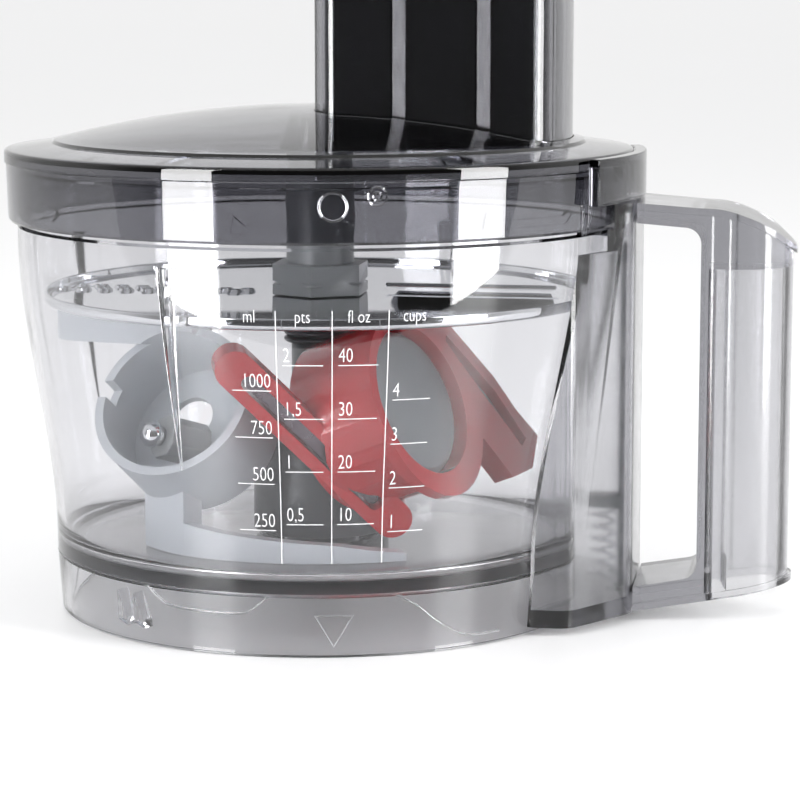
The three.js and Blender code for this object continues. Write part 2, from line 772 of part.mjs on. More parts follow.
function makeKneadingPost() {
  const chamfer = 3;
  const inner = postHalf - chamfer;
  const outline = [[-inner, -postHalf], [inner, -postHalf], [postHalf, -inner], [postHalf, inner],
    [inner, postHalf], [-inner, postHalf], [-postHalf, inner], [-postHalf, -inner]];
  return moved(raised(outline, postLift, postLift + postLength), postPlace());
}

function makeKneadingPin() {
  const start = postLift + postLength + seamGap;
  return moved(turned([[0, start], [3, start], [3, start + 1], [4, start + 2.2], [4, start + 4],
    [2.6, start + 6], [0, start + 6.8]], 20), postPlace());
}

// ---------- Knife and its guard ----------

const guardPlace = placeAlong(collarBack, collarFace, new THREE.Vector3(0.385, 0.061, -0.92));
const guardLength = collarBack.distanceTo(collarFace);
const armPlace = placeAlong(guardArmTop, guardArmFoot, new THREE.Vector3(0.7, 0.1, 0.7));
const armLength = guardArmTop.distanceTo(guardArmFoot);

// A flat bar along the guard's long arm, with round ends.
function armBar(halfWidth, depth, from, to) {
  const shape = new THREE.Shape();
  shape.absarc(from, 0, halfWidth, Math.PI / 2, Math.PI * 1.5, false);
  shape.absarc(to, 0, halfWidth, -Math.PI / 2, Math.PI / 2, false);
  const flat = raised(shape, -depth / 2, depth / 2, 6);
  const standing = new THREE.Matrix4().makeBasis(new THREE.Vector3(0, 0, 1),
    new THREE.Vector3(1, 0, 0), new THREE.Vector3(0, 1, 0));
  return moved(moved(flat, standing), armPlace);
}

const faceArmOutline = [[-21, 8], [-15, 33], [8, 46], [21, 50.5], [33, 57], [40, 45], [38, 31],
  [22, 24], [20, 5]];
const faceSlot = [[-12, 29], [-10, 27], [32, 44.5], [31, 49], [12, 43]];

function makeGuard() {
  const collar = rod(guardRadius, 0, guardLength, 40);
  const lip = shifted(rod(guardRadius + 1.5, guardLength - 4, guardLength, 40), 3, 2, 0);
  const faceArm = raised(faceArmOutline, guardLength - 7, guardLength);
  const slot = raised(faceSlot, guardLength - 8, guardLength + 1);
  const local = collar.add(lip).add(faceArm.subtract(slot));
  const half = guardArmWidth / 2;
  const arm = armBar(half, guardArmDepth, half, armLength - half);
  const armSlot = armBar(slotWidth / 2, guardArmDepth + 2, 12, armLength - 14);
  const bore = moved(rod(guardBore, -30, guardLength + 5, 40), guardPlace);
  return moved(local, guardPlace).add(arm).subtract(bore).subtract(armSlot);
}

function makeKnifeHub() {
  const outer = guardBore - knifeClearance;
  return moved(turned([
    [0, guardLength - 5],
    [outer - knifeHubWall, guardLength - 7],
    [outer - knifeHubWall, knifeHubStart],
    [outer, knifeHubStart],
    [outer, guardLength - 5],
    [outer - 2, guardLength - 3],
    [0, guardLength - 2],
  ], 40), guardPlace);
}

function makeLongBlade() {
  const half = slotWidth / 2 - 0.4;
  return armBar(half, knifeThickness, 12.4, armLength - 14.4);
}

function makeShortBlade() {
  const outline = [[-9, 29.4], [-8.6, 28.8], [31, 45.2], [30.4, 47.8], [12, 41.8]];
  const middle = guardLength - 3.5;
  return moved(raised(outline, middle - knifeThickness / 2, middle + knifeThickness / 2),
    guardPlace);
}

// ---------- Colours ----------

function plastic(color, roughness) {
  return new THREE.MeshStandardMaterial({ color, roughness, metalness: 0 });
}

const clearPlastic = plastic(0xe3e6e9, 0.08);
const smokyPlastic = plastic(0x7b7f85, 0.1);
const blackPlastic = plastic(0x24262a, 0.15);
const darkPlastic = plastic(0x4b5054, 0.4);
const greyPlastic = plastic(0x8a8f94, 0.35);
const toolPlastic = plastic(0xc3cdd4, 0.4);
const guardPlastic = plastic(0xc83236, 0.25);
const steel = new THREE.MeshStandardMaterial({ color: 0xc9ccd0, roughness: 0.15, metalness: 1 });

// ---------- Assembly ----------

const group = new THREE.Group();

function addPiece(name, solid, material) {
  const mesh = new THREE.Mesh(geometryOf(solid), material);
  mesh.name = name;
  group.add(mesh);
}

addPiece("bowl", makeBowl(), clearPlastic);
addPiece("handle_duct", makeDuct(), clearPlastic);
addPiece("handle_grip", makeHandle(), clearPlastic);
addPiece("interlock_slide", makeSlide(), greyPlastic);
addPiece("interlock_spring", makeSpring(), steel);

addPiece("drive_coupling", makeCoupling(), darkPlastic);
addPiece("drive_shaft", makeShaft(), darkPlastic);
addPiece("shaft_ring", makeShaftRing(), darkPlastic);
addPiece("axle", makeAxle(), steel);
addPiece("disc_hub", makeDiscHub(), greyPlastic);
addPiece("cutting_disc", makeDisc(), steel);
addPiece("disc_blade", makeDiscBlade(), steel);

addPiece("lid", makeLid(), smokyPlastic);
addPiece("lid_lug", makeLug(), smokyPlastic);
addPiece("lid_boss", makeBoss(), smokyPlastic);
addPiece("lid_bush", makeBush(), greyPlastic);
addPiece("feed_chute", makeChute(), smokyPlastic);
addPiece("pusher", makePusher(), blackPlastic);
addPiece("pusher_cap", makePusherCap(), blackPlastic);

addPiece("kneading_tool", makeKneadingTool(), toolPlastic);
addPiece("kneading_post", makeKneadingPost(), greyPlastic);
addPiece("kneading_pin", makeKneadingPin(), steel);

addPiece("blade_guard", makeGuard(), guardPlastic);
addPiece("knife_hub", makeKnifeHub(), greyPlastic);
addPiece("knife_blade_long", makeLongBlade(), steel);
addPiece("knife_blade_short", makeShortBlade(), steel);

export default group;
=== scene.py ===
# The bowl unit of a compact food processor, standing on a pale table with its cutting disc fitted
# and its kneading tool and sheathed knife put away inside. Metres, +Z up, +X towards the handle.

import math

import bmesh
import bpy
from mathutils import Matrix, Vector


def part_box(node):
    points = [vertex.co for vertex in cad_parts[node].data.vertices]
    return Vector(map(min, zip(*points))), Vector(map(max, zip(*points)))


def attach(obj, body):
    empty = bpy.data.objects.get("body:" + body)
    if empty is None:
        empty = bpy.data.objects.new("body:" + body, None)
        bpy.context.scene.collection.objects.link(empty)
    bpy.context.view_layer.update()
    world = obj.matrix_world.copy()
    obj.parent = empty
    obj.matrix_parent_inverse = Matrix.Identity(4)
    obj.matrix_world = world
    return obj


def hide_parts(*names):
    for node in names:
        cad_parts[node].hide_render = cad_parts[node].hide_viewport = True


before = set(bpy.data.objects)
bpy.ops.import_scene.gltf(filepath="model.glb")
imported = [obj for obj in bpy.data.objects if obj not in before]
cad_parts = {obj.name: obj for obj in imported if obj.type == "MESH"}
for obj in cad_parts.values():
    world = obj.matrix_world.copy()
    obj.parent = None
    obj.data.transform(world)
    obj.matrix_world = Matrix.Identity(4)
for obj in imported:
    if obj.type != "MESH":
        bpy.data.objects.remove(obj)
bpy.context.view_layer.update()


# ---------- Table, light and camera ----------
# A white table that begins a little in front of the bowl and reaches far behind it, lit by a pale
# room that is darker on the near side and by two tall soft boxes left and right of the camera.

mm = 0.001
view_turn = Matrix.Rotation(math.radians(9), 4, "Z")
camera_place = view_turn @ Vector((25.2 * mm, -910.6 * mm, 204.4 * mm))
camera_aim = view_turn @ Vector((25.2 * mm, 0, 64 * mm))
camera_lens = 130.16
table_size = 30
table_front = 0.32
table_drop = 0.2 * mm
soft_box_distance = 1.5
soft_box_height = 0.35
soft_box_size = (0.5, 1.7)
soft_box_power = 42
left_box_side = -45
right_box_side = 60
far_wall_light = 0.97
near_wall_light = 0.1
ceiling_light = 0.9


class Wire:
    """An output in a node tree. Arithmetic on wires adds Math nodes."""

    def __init__(self, tree, socket=None):
        self.tree = tree
        self.socket = socket

    def node(self, kind, settings=(), inputs=(), output=0):
        made = self.tree.nodes.new("ShaderNode" + kind)
        for name, value in dict(settings).items():
            setattr(made, name, value)
        for name, value in dict(inputs).items():
            if isinstance(value, Wire):
                self.tree.links.new(value.socket, made.inputs[name])
            else:
                made.inputs[name].default_value = value
        return Wire(self.tree, made.outputs[output]) if len(made.outputs) else made

    def maths(self, operation, first, second):
        return self.node("Math", {"operation": operation}, {0: first, 1: second})

    def __add__(self, other):
        return self.maths("ADD", self, other)

    __radd__ = __add__

    def __mul__(self, other):
        return self.maths("MULTIPLY", self, other)

    __rmul__ = __mul__

    def between(self, low, high, to_low=0.0, to_high=1.0):
        """Eases from one value to another as the wire goes from low to high."""
        return self.node(
            "MapRange",
            {"interpolation_type": "SMOOTHSTEP"},
            {"Value": self, "From Min": low, "From Max": high, "To Min": to_low, "To Max": to_high},
        )


def light_room():
    world = bpy.data.worlds.new("room")
    bpy.context.scene.world = world
    world.use_nodes = True
    world.node_tree.nodes.clear()
    wire = Wire(world.node_tree)
    direction = wire.node("TexCoord", output="Generated")
    near_side = view_turn @ Vector((0, -1, 0))
    nearness = wire.node(
        "VectorMath", {"operation": "DOT_PRODUCT"}, {0: direction, 1: near_side}, output="Value"
    )
    height = wire.node("SeparateXYZ", inputs={"Vector": direction}, output="Z")
    walls = nearness.between(-0.15, 0.6, far_wall_light, near_wall_light)
    ceiling = height.between(0.35, 0.8, 0.0, ceiling_light)
    room = wire.node("Math", {"operation": "MAXIMUM"}, {0: walls, 1: ceiling})
    seen = wire.node("LightPath", output="Is Camera Ray")
    strength = wire.node("Math", {"operation": "MAXIMUM"}, {0: room, 1: seen})
    shade = wire.node(
        "Background", inputs={"Color": (1.0, 1.0, 1.0, 1.0), "Strength": strength}
    )
    wire.node("OutputWorld", inputs={"Surface": shade})


def soft_box(name, side_degrees):
    data = bpy.data.lights.new(name, "AREA")
    data.shape = "RECTANGLE"
    data.size, data.size_y = soft_box_size
    data.energy = soft_box_power
    lamp = bpy.data.objects.new(name, data)
    turn = math.radians(side_degrees)
    place = Vector((math.sin(turn), -math.cos(turn), 0)) * soft_box_distance
    place.z = soft_box_height
    lamp.location = view_turn @ place
    aim = Vector((0, 0, soft_box_height)) - lamp.location
    lamp.rotation_euler = aim.to_track_quat("-Z", "Y").to_euler()
    lamp.visible_camera = False
    bpy.context.scene.collection.objects.link(lamp)


light_room()
soft_box("soft_box_left", left_box_side)
soft_box("soft_box_right", right_box_side)

camera_data = bpy.data.cameras.new("camera")
camera_data.lens = camera_lens
camera_data.sensor_width = 36
camera_data.clip_end = 100
camera = bpy.data.objects.new("camera", camera_data)
camera.location = camera_place
camera.rotation_euler = (camera_aim - camera_place).to_track_quat("-Z", "Y").to_euler()
bpy.context.scene.collection.objects.link(camera)
bpy.context.scene.camera = camera
bpy.context.scene.view_settings.view_transform = "Standard"


def new_material(name):
    """An empty material and a wire to draw its nodes with."""
    material = bpy.data.materials.new(name)
    material.use_nodes = True
    material.node_tree.nodes.clear()
    return material, Wire(material.node_tree)


def grain(wire, size, detail=3.0):
    """Noise whose lumps are about one size across, from 0 to 1."""
    place = wire.node("TexCoord", output="Object")
    return wire.node(
        "TexNoise", inputs={"Vector": place, "Scale": 1 / size, "Detail": detail}, output="Fac"
    )


def mixed(wire, share, first, second):
    """A colour between two others."""
    return wire.node(
        "Mix", {"data_type": "RGBA"}, {"Factor": share, 6: first, 7: second}, output=2
    )


def table_finish():
    material, wire = new_material("table_finish")
    cloud = grain(wire, 0.25)
    colour = mixed(wire, cloud, (0.84, 0.84, 0.85, 1), (0.87, 0.87, 0.875, 1))
    shade = wire.node("BsdfPrincipled", inputs={
        "Base Color": colour,
        "Roughness": cloud * 0.1 + 0.28,
        "Specular IOR Level": 0.4,
        "Emission Color": (1, 1, 1, 1),
        "Emission Strength": 0.09,
    })
    wire.node("OutputMaterial", inputs={"Surface": shade})
    return material


table_mesh = bmesh.new()
bmesh.ops.create_grid(table_mesh, x_segments=1, y_segments=1, size=table_size)
bmesh.ops.translate(table_mesh, verts=table_mesh.verts,
                    vec=(0, table_size - table_front, -table_drop))
bmesh.ops.transform(table_mesh, verts=table_mesh.verts, matrix=view_turn)


def piece(name, solid, material, sharp_degrees=38):
    """A finished object from a bmesh, smooth except along its edges."""
    mesh = bpy.data.meshes.new(name)
    solid.to_mesh(mesh)
    solid.free()
    mesh.materials.append(material)
    mesh.polygons.foreach_set("use_smooth", [True] * len(mesh.polygons))
    mesh.set_sharp_from_angle(angle=math.radians(sharp_degrees))
    made = bpy.data.objects.new(name, mesh)
    bpy.context.scene.collection.objects.link(made)
    return made


table = piece("table", table_mesh, table_finish())


# ---------- Bowl ----------
# One moulding of clear plastic: a flared wall on a nearly straight skirt, a floor with a central
# collar, guide ribs inside, bayonet lugs at the rim and ramps in the skirt that lock to the motor.

bowl_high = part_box("bowl")[1]
rim_radius = bowl_high.x
bowl_top = bowl_high.z
waist_radius = 84 * mm
foot_radius = 82.7 * mm
flare_start = 22 * mm
flare_end = 118 * mm
bowl_wall = 2.6 * mm
floor_under = 18.8 * mm
floor_top = 21.8 * mm
floor_fillet = 7 * mm
rim_recess = 1 * mm
rim_start = 121 * mm
collar_outer = 18.4 * mm
collar_bore = 15.9 * mm
collar_top = 40 * mm
front_heading = math.radians(-81)
rib_top = 115 * mm
rib_tip = 55 * mm
rib_width = 2.7 * mm
duct_rib = 63
trough_headings = (-25, 95, 215)
slope_headings = (26, 146, 266)
wedge_headings = (-46, -41)
rim_lug_headings = (-3, 42, 117, 207, 297)
mark_heading = 4
weld = 0.001 * mm


def bowl_radius(height):
    """The outside of the bowl: a straight skirt, an S-shaped flare and a straight rim."""
    if height < floor_under:
        return foot_radius + (waist_radius - foot_radius) * max(height, 0) / floor_under
    share = min(max((height - flare_start) / (flare_end - flare_start), 0), 1)
    return waist_radius + (rim_radius - waist_radius) * share * share * (3 - 2 * share)


def steps_between(low, high, count):
    return [low + (high - low) * i / count for i in range(count + 1)]


def turned(profile, steps=96, sweep=2 * math.pi):
    """Spins a (radius, height) outline about Z. It closes on itself or runs from axis to axis."""
    solid = bmesh.new()
    corners = [solid.verts.new((radius, 0, height)) for radius, height in profile]
    pairs = list(zip(corners, corners[1:]))
    if profile[0][0] > 0 or profile[-1][0] > 0:
        pairs.append((corners[-1], corners[0]))
    edges = [solid.edges.new(pair) for pair in pairs]
    bmesh.ops.spin(solid, geom=corners + edges, cent=(0, 0, 0), axis=(0, 0, 1), dvec=(0, 0, 0),
                   angle=sweep, steps=steps, use_merge=True)
    bmesh.ops.remove_doubles(solid, verts=solid.verts, dist=weld)
    bmesh.ops.recalc_face_normals(solid, faces=solid.faces)
    return solid


def combined(operation, first, *others):
    """One solid from several, by Boolean modifiers."""
    made = []
    for solid in (first, *others):
        mesh = bpy.data.meshes.new("part")
        solid.to_mesh(mesh)
        solid.free()
        thing = bpy.data.objects.new("part", mesh)
        bpy.context.scene.collection.objects.link(thing)
        made.append(thing)
    for other in made[1:]:
        change = made[0].modifiers.new("change", "BOOLEAN")
        change.solver = "MANIFOLD"
        change.operation = operation
        change.object = other
    bpy.context.view_layer.update()
    view = bpy.context.evaluated_depsgraph_get()
    mesh = bpy.data.meshes.new_from_object(made[0].evaluated_get(view))
    result = bmesh.new()
    result.from_mesh(mesh)
    for thing in made:
        old = thing.data
        bpy.data.objects.remove(thing)
        bpy.data.meshes.remove(old)
    bpy.data.meshes.remove(mesh)
    return result


def joined(first, *others):
    return combined("UNION", first, *others)


def cut(first, *others):
    return combined("DIFFERENCE", first, *others)


def kept_inside(first, *others):
    return combined("INTERSECT", first, *others)


def wrapped(panel, heading, radius_at, slice_width=3 * mm):
    """Bends a panel in XZ round the bowl's axis. X runs along the wall and Y stands in from it."""
    reach = max(abs(v.co.x) for v in panel.verts)
    count = int(reach / slice_width)
    for i in range(-count, count + 1):
        geometry = panel.verts[:] + panel.edges[:] + panel.faces[:]
        bmesh.ops.bisect_plane(panel, geom=geometry, plane_co=(i * slice_width, 0, 0),
                               plane_no=(1, 0, 0), dist=weld)
    for vertex in panel.verts:
        radius = radius_at(vertex.co.z) - vertex.co.y
        turn = heading + vertex.co.x / radius_at(vertex.co.z)
        vertex.co.x = radius * math.cos(turn)
        vertex.co.y = radius * math.sin(turn)
    return panel


def slab(outline, near, far):
    """A flat (x, z) outline given a thickness along Y."""
    solid = bmesh.new()
    solid.faces.new([solid.verts.new((x, near, z)) for x, z in outline])
    grown = bmesh.ops.extrude_face_region(solid, geom=solid.faces[:])["geom"]
    moved = [part for part in grown if isinstance(part, bmesh.types.BMVert)]
    bmesh.ops.translate(solid, verts=moved, vec=(0, far - near, 0))
    bmesh.ops.recalc_face_normals(solid, faces=solid.faces)
    return solid


def bead(path, radius, closed=False):
    """A round bead along (x, z) points in the plane Y = 0."""
    curve = bpy.data.curves.new("bead", "CURVE")
    curve.dimensions = "3D"
    curve.bevel_depth = radius
    curve.bevel_resolution = 1
    curve.use_fill_caps = True
    spline = curve.splines.new("POLY")
    spline.points.add(len(path) - 1)
    for point, (x, z) in zip(spline.points, path):
        point.co = (x, 0, z, 1)
    spline.use_cyclic_u = closed
    thing = bpy.data.objects.new("bead", curve)
    mesh = bpy.data.meshes.new_from_object(thing)
    solid = bmesh.new()
    solid.from_mesh(mesh)
    bmesh.ops.remove_doubles(solid, verts=solid.verts, dist=weld)
    bmesh.ops.recalc_face_normals(solid, faces=solid.faces)
    bpy.data.objects.remove(thing)
    bpy.data.curves.remove(curve)
    bpy.data.meshes.remove(mesh)
    return solid


def curved(points, steps=6):
    """A smooth line through points, eased between them."""
    line = []
    ends = [points[0]] + points + [points[-1]]
    for before, start, end, after in zip(ends, ends[1:], ends[2:], ends[3:]):
        for i in range(steps):
            t = i / steps
            line.append(tuple(
                0.5 * ((2 * b) + (c - a) * t + (2 * a - 5 * b + 4 * c - d) * t * t
                       + (3 * b - a - 3 * c + d) * t ** 3)
                for a, b, c, d in zip(before, start, end, after)
            ))
    return line + [points[-1]]


def clear_finish(name, tint, haze, absorb_colour, absorb_density, frost_height=None, wave=0.35,
                 dome_tint=None):
    """See-through moulded plastic: polished, faintly wavy, darker where it is thick.

    frost_height is a band of heights that is frosted, and dome_tint the tint above the flange.
    """
    material, wire = new_material(name)
    flow = grain(wire, 45 * mm, 2.0)
    fine = grain(wire, 3 * mm)
    roughness = fine * haze + haze * 0.4
    if frost_height:
        place = wire.node("TexCoord", output="Object")
        height = wire.node("SeparateXYZ", inputs={"Vector": place}, output="Z")
        low, high = frost_height
        above_low = height.between(low - 0.3 * mm, low)
        below_high = height.between(high, high + 0.3 * mm, 1.0, 0.0)
        roughness = roughness + above_low * below_high * 0.3
    bump = wire.node("Bump", inputs={"Strength": wave, "Distance": 0.4 * mm, "Height": flow})
    if dome_tint:
        place = wire.node("TexCoord", output="Object")
        height = wire.node("SeparateXYZ", inputs={"Vector": place}, output="Z")
        tint = mixed(wire, height.between(145.5 * mm, 148 * mm), tint, dome_tint)
    shade = wire.node("BsdfPrincipled", inputs={
        "Base Color": tint,
        "Roughness": roughness,
        "IOR": 1.52,
        "Transmission Weight": 1.0,
        "Normal": bump,
    })
    inside = wire.node(
        "VolumeAbsorption", inputs={"Color": absorb_colour, "Density": absorb_density}
    )
    wire.node("OutputMaterial", inputs={"Surface": shade, "Volume": inside})
    return material


clear_plastic = clear_finish(
    "clear_plastic_finish", (0.87, 0.87, 0.885, 1), 0.03, (0.5, 0.5, 0.53, 1), 34,
    frost_height=(floor_under - 0.2 * mm, floor_under + 0.1 * mm),
)

flare_heights = steps_between(floor_under, rim_start, 40)
bowl_outside = [(foot_radius - 0.7 * mm, 0), (foot_radius, 0.7 * mm)]
bowl_outside += [(bowl_radius(z), z) for z in flare_heights]
bowl_outside += [
    (rim_radius - rim_recess, rim_start + 0.8 * mm),
    (rim_radius - rim_recess, bowl_top - 0.8 * mm),
    (rim_radius - rim_recess - 0.7 * mm, bowl_top),
    (rim_radius - bowl_wall + 0.5 * mm, bowl_top),
]
bowl_inside = [(bowl_radius(z) - bowl_wall, z)
               for z in steps_between(bowl_top - 0.6 * mm, floor_top + floor_fillet, 40)]
fillet_centre = bowl_radius(floor_top + floor_fillet) - bowl_wall - floor_fillet
fillet_turns = steps_between(0, math.pi / 2, 8)[1:]
bowl_fillet = [(fillet_centre + floor_fillet * math.cos(t),
                floor_top + floor_fillet * (1 - math.sin(t))) for t in fillet_turns]
bowl_floor = [
    (collar_outer + 1.5 * mm, floor_top),
    (collar_outer, floor_top + 1.5 * mm),
    (collar_outer, collar_top - 0.5 * mm),
    (collar_outer - 0.5 * mm, collar_top),
    (collar_bore + 0.5 * mm, collar_top),
    (collar_bore, collar_top - 0.5 * mm),
    (collar_bore, floor_under),
    (waist_radius - bowl_wall - 1 * mm, floor_under),
    (waist_radius - bowl_wall, floor_under - 1 * mm),
    (foot_radius - bowl_wall, 0.5 * mm),
    (foot_radius - bowl_wall + 0.5 * mm, 0),
]
bowl_solid = turned(bowl_outside + bowl_inside + bowl_fillet + bowl_floor, steps=180)


def bowl_inner(height):
    return bowl_radius(height) - bowl_wall


def guide_rib(heading):
    """A round rib on the inside of the wall that tapers away downwards."""
    heights = steps_between(rib_tip, rib_top, 16)
    sides = [(0.3 * mm + rib_width * (z - rib_tip) / (rib_top - rib_tip), z) for z in heights]
    rib = turned([(0, rib_tip)] + sides + [(0, rib_top)], steps=20)
    return wrapped(rib, heading, bowl_inner)


def skirt_bead(degrees, path, width=0.45):
    """A bead on the inside of the skirt. Points are degrees from its heading and height in mm."""
    line = [(math.radians(a) * foot_radius, z * mm) for a, z in path]
    return wrapped(bead(line, width * mm), front_heading + math.radians(degrees), bowl_inner)


# The ribs are a quarter turn apart. The one behind the duct is left out.
bowl_details = [guide_rib(front_heading + math.radians(duct_rib + 90 * i)) for i in range(1, 4)]
trough = curved([(-12.6, 18.5), (-9.0, 14.6), (-6, 13.0), (1, 12.5), (8.5, 12.6), (11.5, 14.0),
                 (15.4, 18.5)])
bowl_details += [skirt_bead(degrees, trough) for degrees in trough_headings]
slope = curved([(-9, 18.5), (-4, 14.5), (0, 9.7), (5, 5.2), (9, 3.4), (16, 3.2)])
bowl_details += [skirt_bead(degrees, slope) for degrees in slope_headings]
mark_tip = [(-5.4, 12.9), (5.4, 12.9), (0, 3.6)]
mark_line = [(x * mm, z * mm) for x, z in mark_tip]
mark = bead(mark_line, 0.5 * mm, closed=True)
bowl_details.append(wrapped(mark, front_heading + math.radians(mark_heading), bowl_radius))
wedge_outline = [(-1.5 * mm, 6 * mm), (2.5 * mm, 4.5 * mm), (2.5 * mm, 7 * mm),
                 (-1 * mm, 15 * mm)]
for side in wedge_headings:
    wedge = slab(wedge_outline, -0.3 * mm, 3.5 * mm)
    bowl_details.append(wrapped(wedge, front_heading + math.radians(side), bowl_inner))
rim_lug_outline = [(-18 * mm, 126 * mm), (14 * mm, 126 * mm), (17 * mm, 128.5 * mm),
                   (16 * mm, 130 * mm), (13 * mm, 128.4 * mm), (-14 * mm, 128.4 * mm),
                   (-17 * mm, 131 * mm)]
for side in rim_lug_headings:
    rim_lug = slab(rim_lug_outline, -0.95 * mm, 1 * mm)
    bowl_details.append(
        wrapped(rim_lug, front_heading + math.radians(side), lambda z: rim_radius - rim_recess)
    )
bowl_solid = joined(bowl_solid, *bowl_details)
bowl = piece("bowl_moulding", bowl_solid, clear_plastic)
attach(bowl, "bowl")
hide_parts("bowl")


# ---------- Measuring scale ----------
# Fine raised figures and lines on the front of the bowl, frosted so that they read pale against
# what is behind them. In all four units the marks rise evenly with the volume.

scale_base = 24.5 * mm
rise_per_litre = 56 * mm
figure_height = 6.0 * mm
figure_squeeze = 0.72
figure_relief = 0.15 * mm
figure_thinning = 0.012
heading_height = 100.6 * mm
line_width = 0.28 * mm
line_low = 28.5 * mm
line_high = 104 * mm
dividers = (-6.3, 3.6, 13.6)
tick_reach = 7.2
# Each unit: its name, where it starts in degrees, its side, litres in one, figures and amounts.
units = [
    ("ml", -14.6, "RIGHT", 0.001, ("250", "500", "750", "1000"), (250, 500, 750, 1000)),
    ("pts", -5.2, "LEFT", 0.568, ("0,5", "1", "1,5", "2"), (0.5, 1, 1.5, 2)),
    ("fl oz", 4.7, "LEFT", 0.0284, ("10", "20", "30", "40"), (10, 20, 30, 40)),
    ("cups", 14.7, "LEFT", 0.2366, ("1", "2", "3", "4"), (1, 2, 3, 4)),
]


def frosted_mark():
    material, wire = new_material("frosted_mark")
    speckle = grain(wire, 0.6 * mm)
    shade = wire.node("BsdfPrincipled", inputs={
        "Base Color": mixed(wire, speckle, (0.86, 0.87, 0.88, 1), (0.97, 0.97, 0.98, 1)),
        "Roughness": speckle * 0.2 + 0.5,
        "Alpha": speckle * 0.2 + 0.42,
    })
    wire.node("OutputMaterial", inputs={"Surface": shade})
    return material


def lettering(text, size, align):
    """Raised figures in the XZ plane, their foot on Z = 0."""
    curve = bpy.data.curves.new("lettering", "FONT")
    curve.body = text
    curve.size = size
    curve.align_x = align
    curve.extrude = figure_relief / 2
    curve.offset = -figure_thinning * size
    curve.resolution_u = 3
    thing = bpy.data.objects.new("lettering", curve)
    bpy.context.scene.collection.objects.link(thing)
    bpy.context.view_layer.update()
    view = bpy.context.evaluated_depsgraph_get()
    mesh = bpy.data.meshes.new_from_object(thing.evaluated_get(view))
    solid = bmesh.new()
    solid.from_mesh(mesh)
    stand = Matrix.Rotation(math.pi / 2, 4, "X") @ Matrix.Diagonal((figure_squeeze, 1, 1, 1))
    bmesh.ops.transform(solid, matrix=stand, verts=solid.verts)
    bpy.data.objects.remove(thing)
    bpy.data.curves.remove(curve)
    bpy.data.meshes.remove(mesh)
    return solid


def placed_on_bowl(panel, degrees, height):
    bmesh.ops.translate(panel, verts=panel.verts, vec=(0, 0, height))
    return wrapped(panel, front_heading + math.radians(degrees),
                   lambda z: bowl_radius(z) + figure_relief / 2)


def gathered(solids):
    """Several loose solids as one mesh."""
    whole = bmesh.new()
    for solid in solids:
        mesh = bpy.data.meshes.new("part")
        solid.to_mesh(mesh)
        solid.free()
        whole.from_mesh(mesh)
        bpy.data.meshes.remove(mesh)
    return whole


def upright_line():
    outline = [(-line_width / 2, line_low), (line_width / 2, line_low),
               (line_width / 2, line_high), (-line_width / 2, line_high)]
    line = slab(outline, -figure_relief / 2, figure_relief / 2)
    for height in steps_between(line_low, line_high, 24)[1:-1]:
        geometry = line.verts[:] + line.edges[:] + line.faces[:]
        bmesh.ops.bisect_plane(line, geom=geometry, plane_co=(0, 0, height), plane_no=(0, 0, 1))
    return line


scale_marks = [placed_on_bowl(upright_line(), degrees, 0) for degrees in dividers]
for unit, start, align, litres, figures, amounts in units:
    middle = start + tick_reach / 2
    scale_marks.append(placed_on_bowl(lettering(unit, figure_height * 0.9, "CENTER"), middle,
                                      heading_height))
    for figure, amount in zip(figures, amounts):
        height = scale_base + rise_per_litre * litres * amount
        edge = start + (tick_reach if align == "RIGHT" else 0)
        scale_marks.append(placed_on_bowl(lettering(figure, figure_height, align), edge,
                                          height + 1 * mm))
        half = math.radians(tick_reach / 2) * bowl_radius(height)
        tick = slab([(-half, -line_width / 2), (half, -line_width / 2), (half, line_width / 2),
                     (-half, line_width / 2)], -figure_relief / 2, figure_relief / 2)
        scale_marks.append(placed_on_bowl(tick, middle, height))
scale = piece("measuring_scale", gathered(scale_marks), frosted_mark())
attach(scale, "bowl")


# ---------- Handle duct and handle ----------
# A hollow clear duct stands against the bowl and guides the interlock slide. The handle is a
# second clear moulding: a flanged strap and bar join a hollow grip that draws to a soft point.

duct_low, duct_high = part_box("handle_duct")
grip_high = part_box("handle_grip")[1]
seam = 0.3 * mm
duct_face = duct_high.x
duct_half = 19 * mm
duct_flare_half = duct_high.y
duct_flare_x = 84 * mm
duct_wall = 2.1 * mm
duct_floor = 5.2 * mm
duct_roof = 3 * mm
slide_inner_x = 95.1 * mm
slide_outer_x = 98.1 * mm
slide_half = 4.4 * mm
slide_slot_top = 9 * mm
lid_room_radius = 98.1 * mm
lid_room_foot = 115.8 * mm
ledge_room_radius = 99.1 * mm
room_top = 140 * mm
lid_low, lid_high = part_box("lid")
grip_inner = 120.8 * mm
grip_outer = grip_high.x
grip_half = 17.5 * mm
grip_wall = 2.4 * mm
strap_top = grip_high.z
strap_slope = 0.075
strap_depth = 6.2 * mm
top_bend_x = 131 * mm
grip_tip_z = 115.5 * mm
bar_rise = 0.17
bar_top = 10.5 * mm
bar_depth = 7.5 * mm
flange_depth = 2.2 * mm
web_inset = 1.2 * mm


def raised(outline, low, high):
    """A flat (x, y) outline raised along Z."""
    solid = bmesh.new()
    solid.faces.new([solid.verts.new((x, y, low)) for x, y in outline])
    grown = bmesh.ops.extrude_face_region(solid, geom=solid.faces[:])["geom"]
    moved = [part for part in grown if isinstance(part, bmesh.types.BMVert)]
    bmesh.ops.translate(solid, verts=moved, vec=(0, 0, high - low))
    bmesh.ops.recalc_face_normals(solid, faces=solid.faces)
    return solid


def arc(x, y, radius, start, end, steps=10):
    """Points on part of a circle, between two angles in radians."""
    return [(x + radius * math.cos(t), y + radius * math.sin(t))
            for t in steps_between(start, end, steps)]


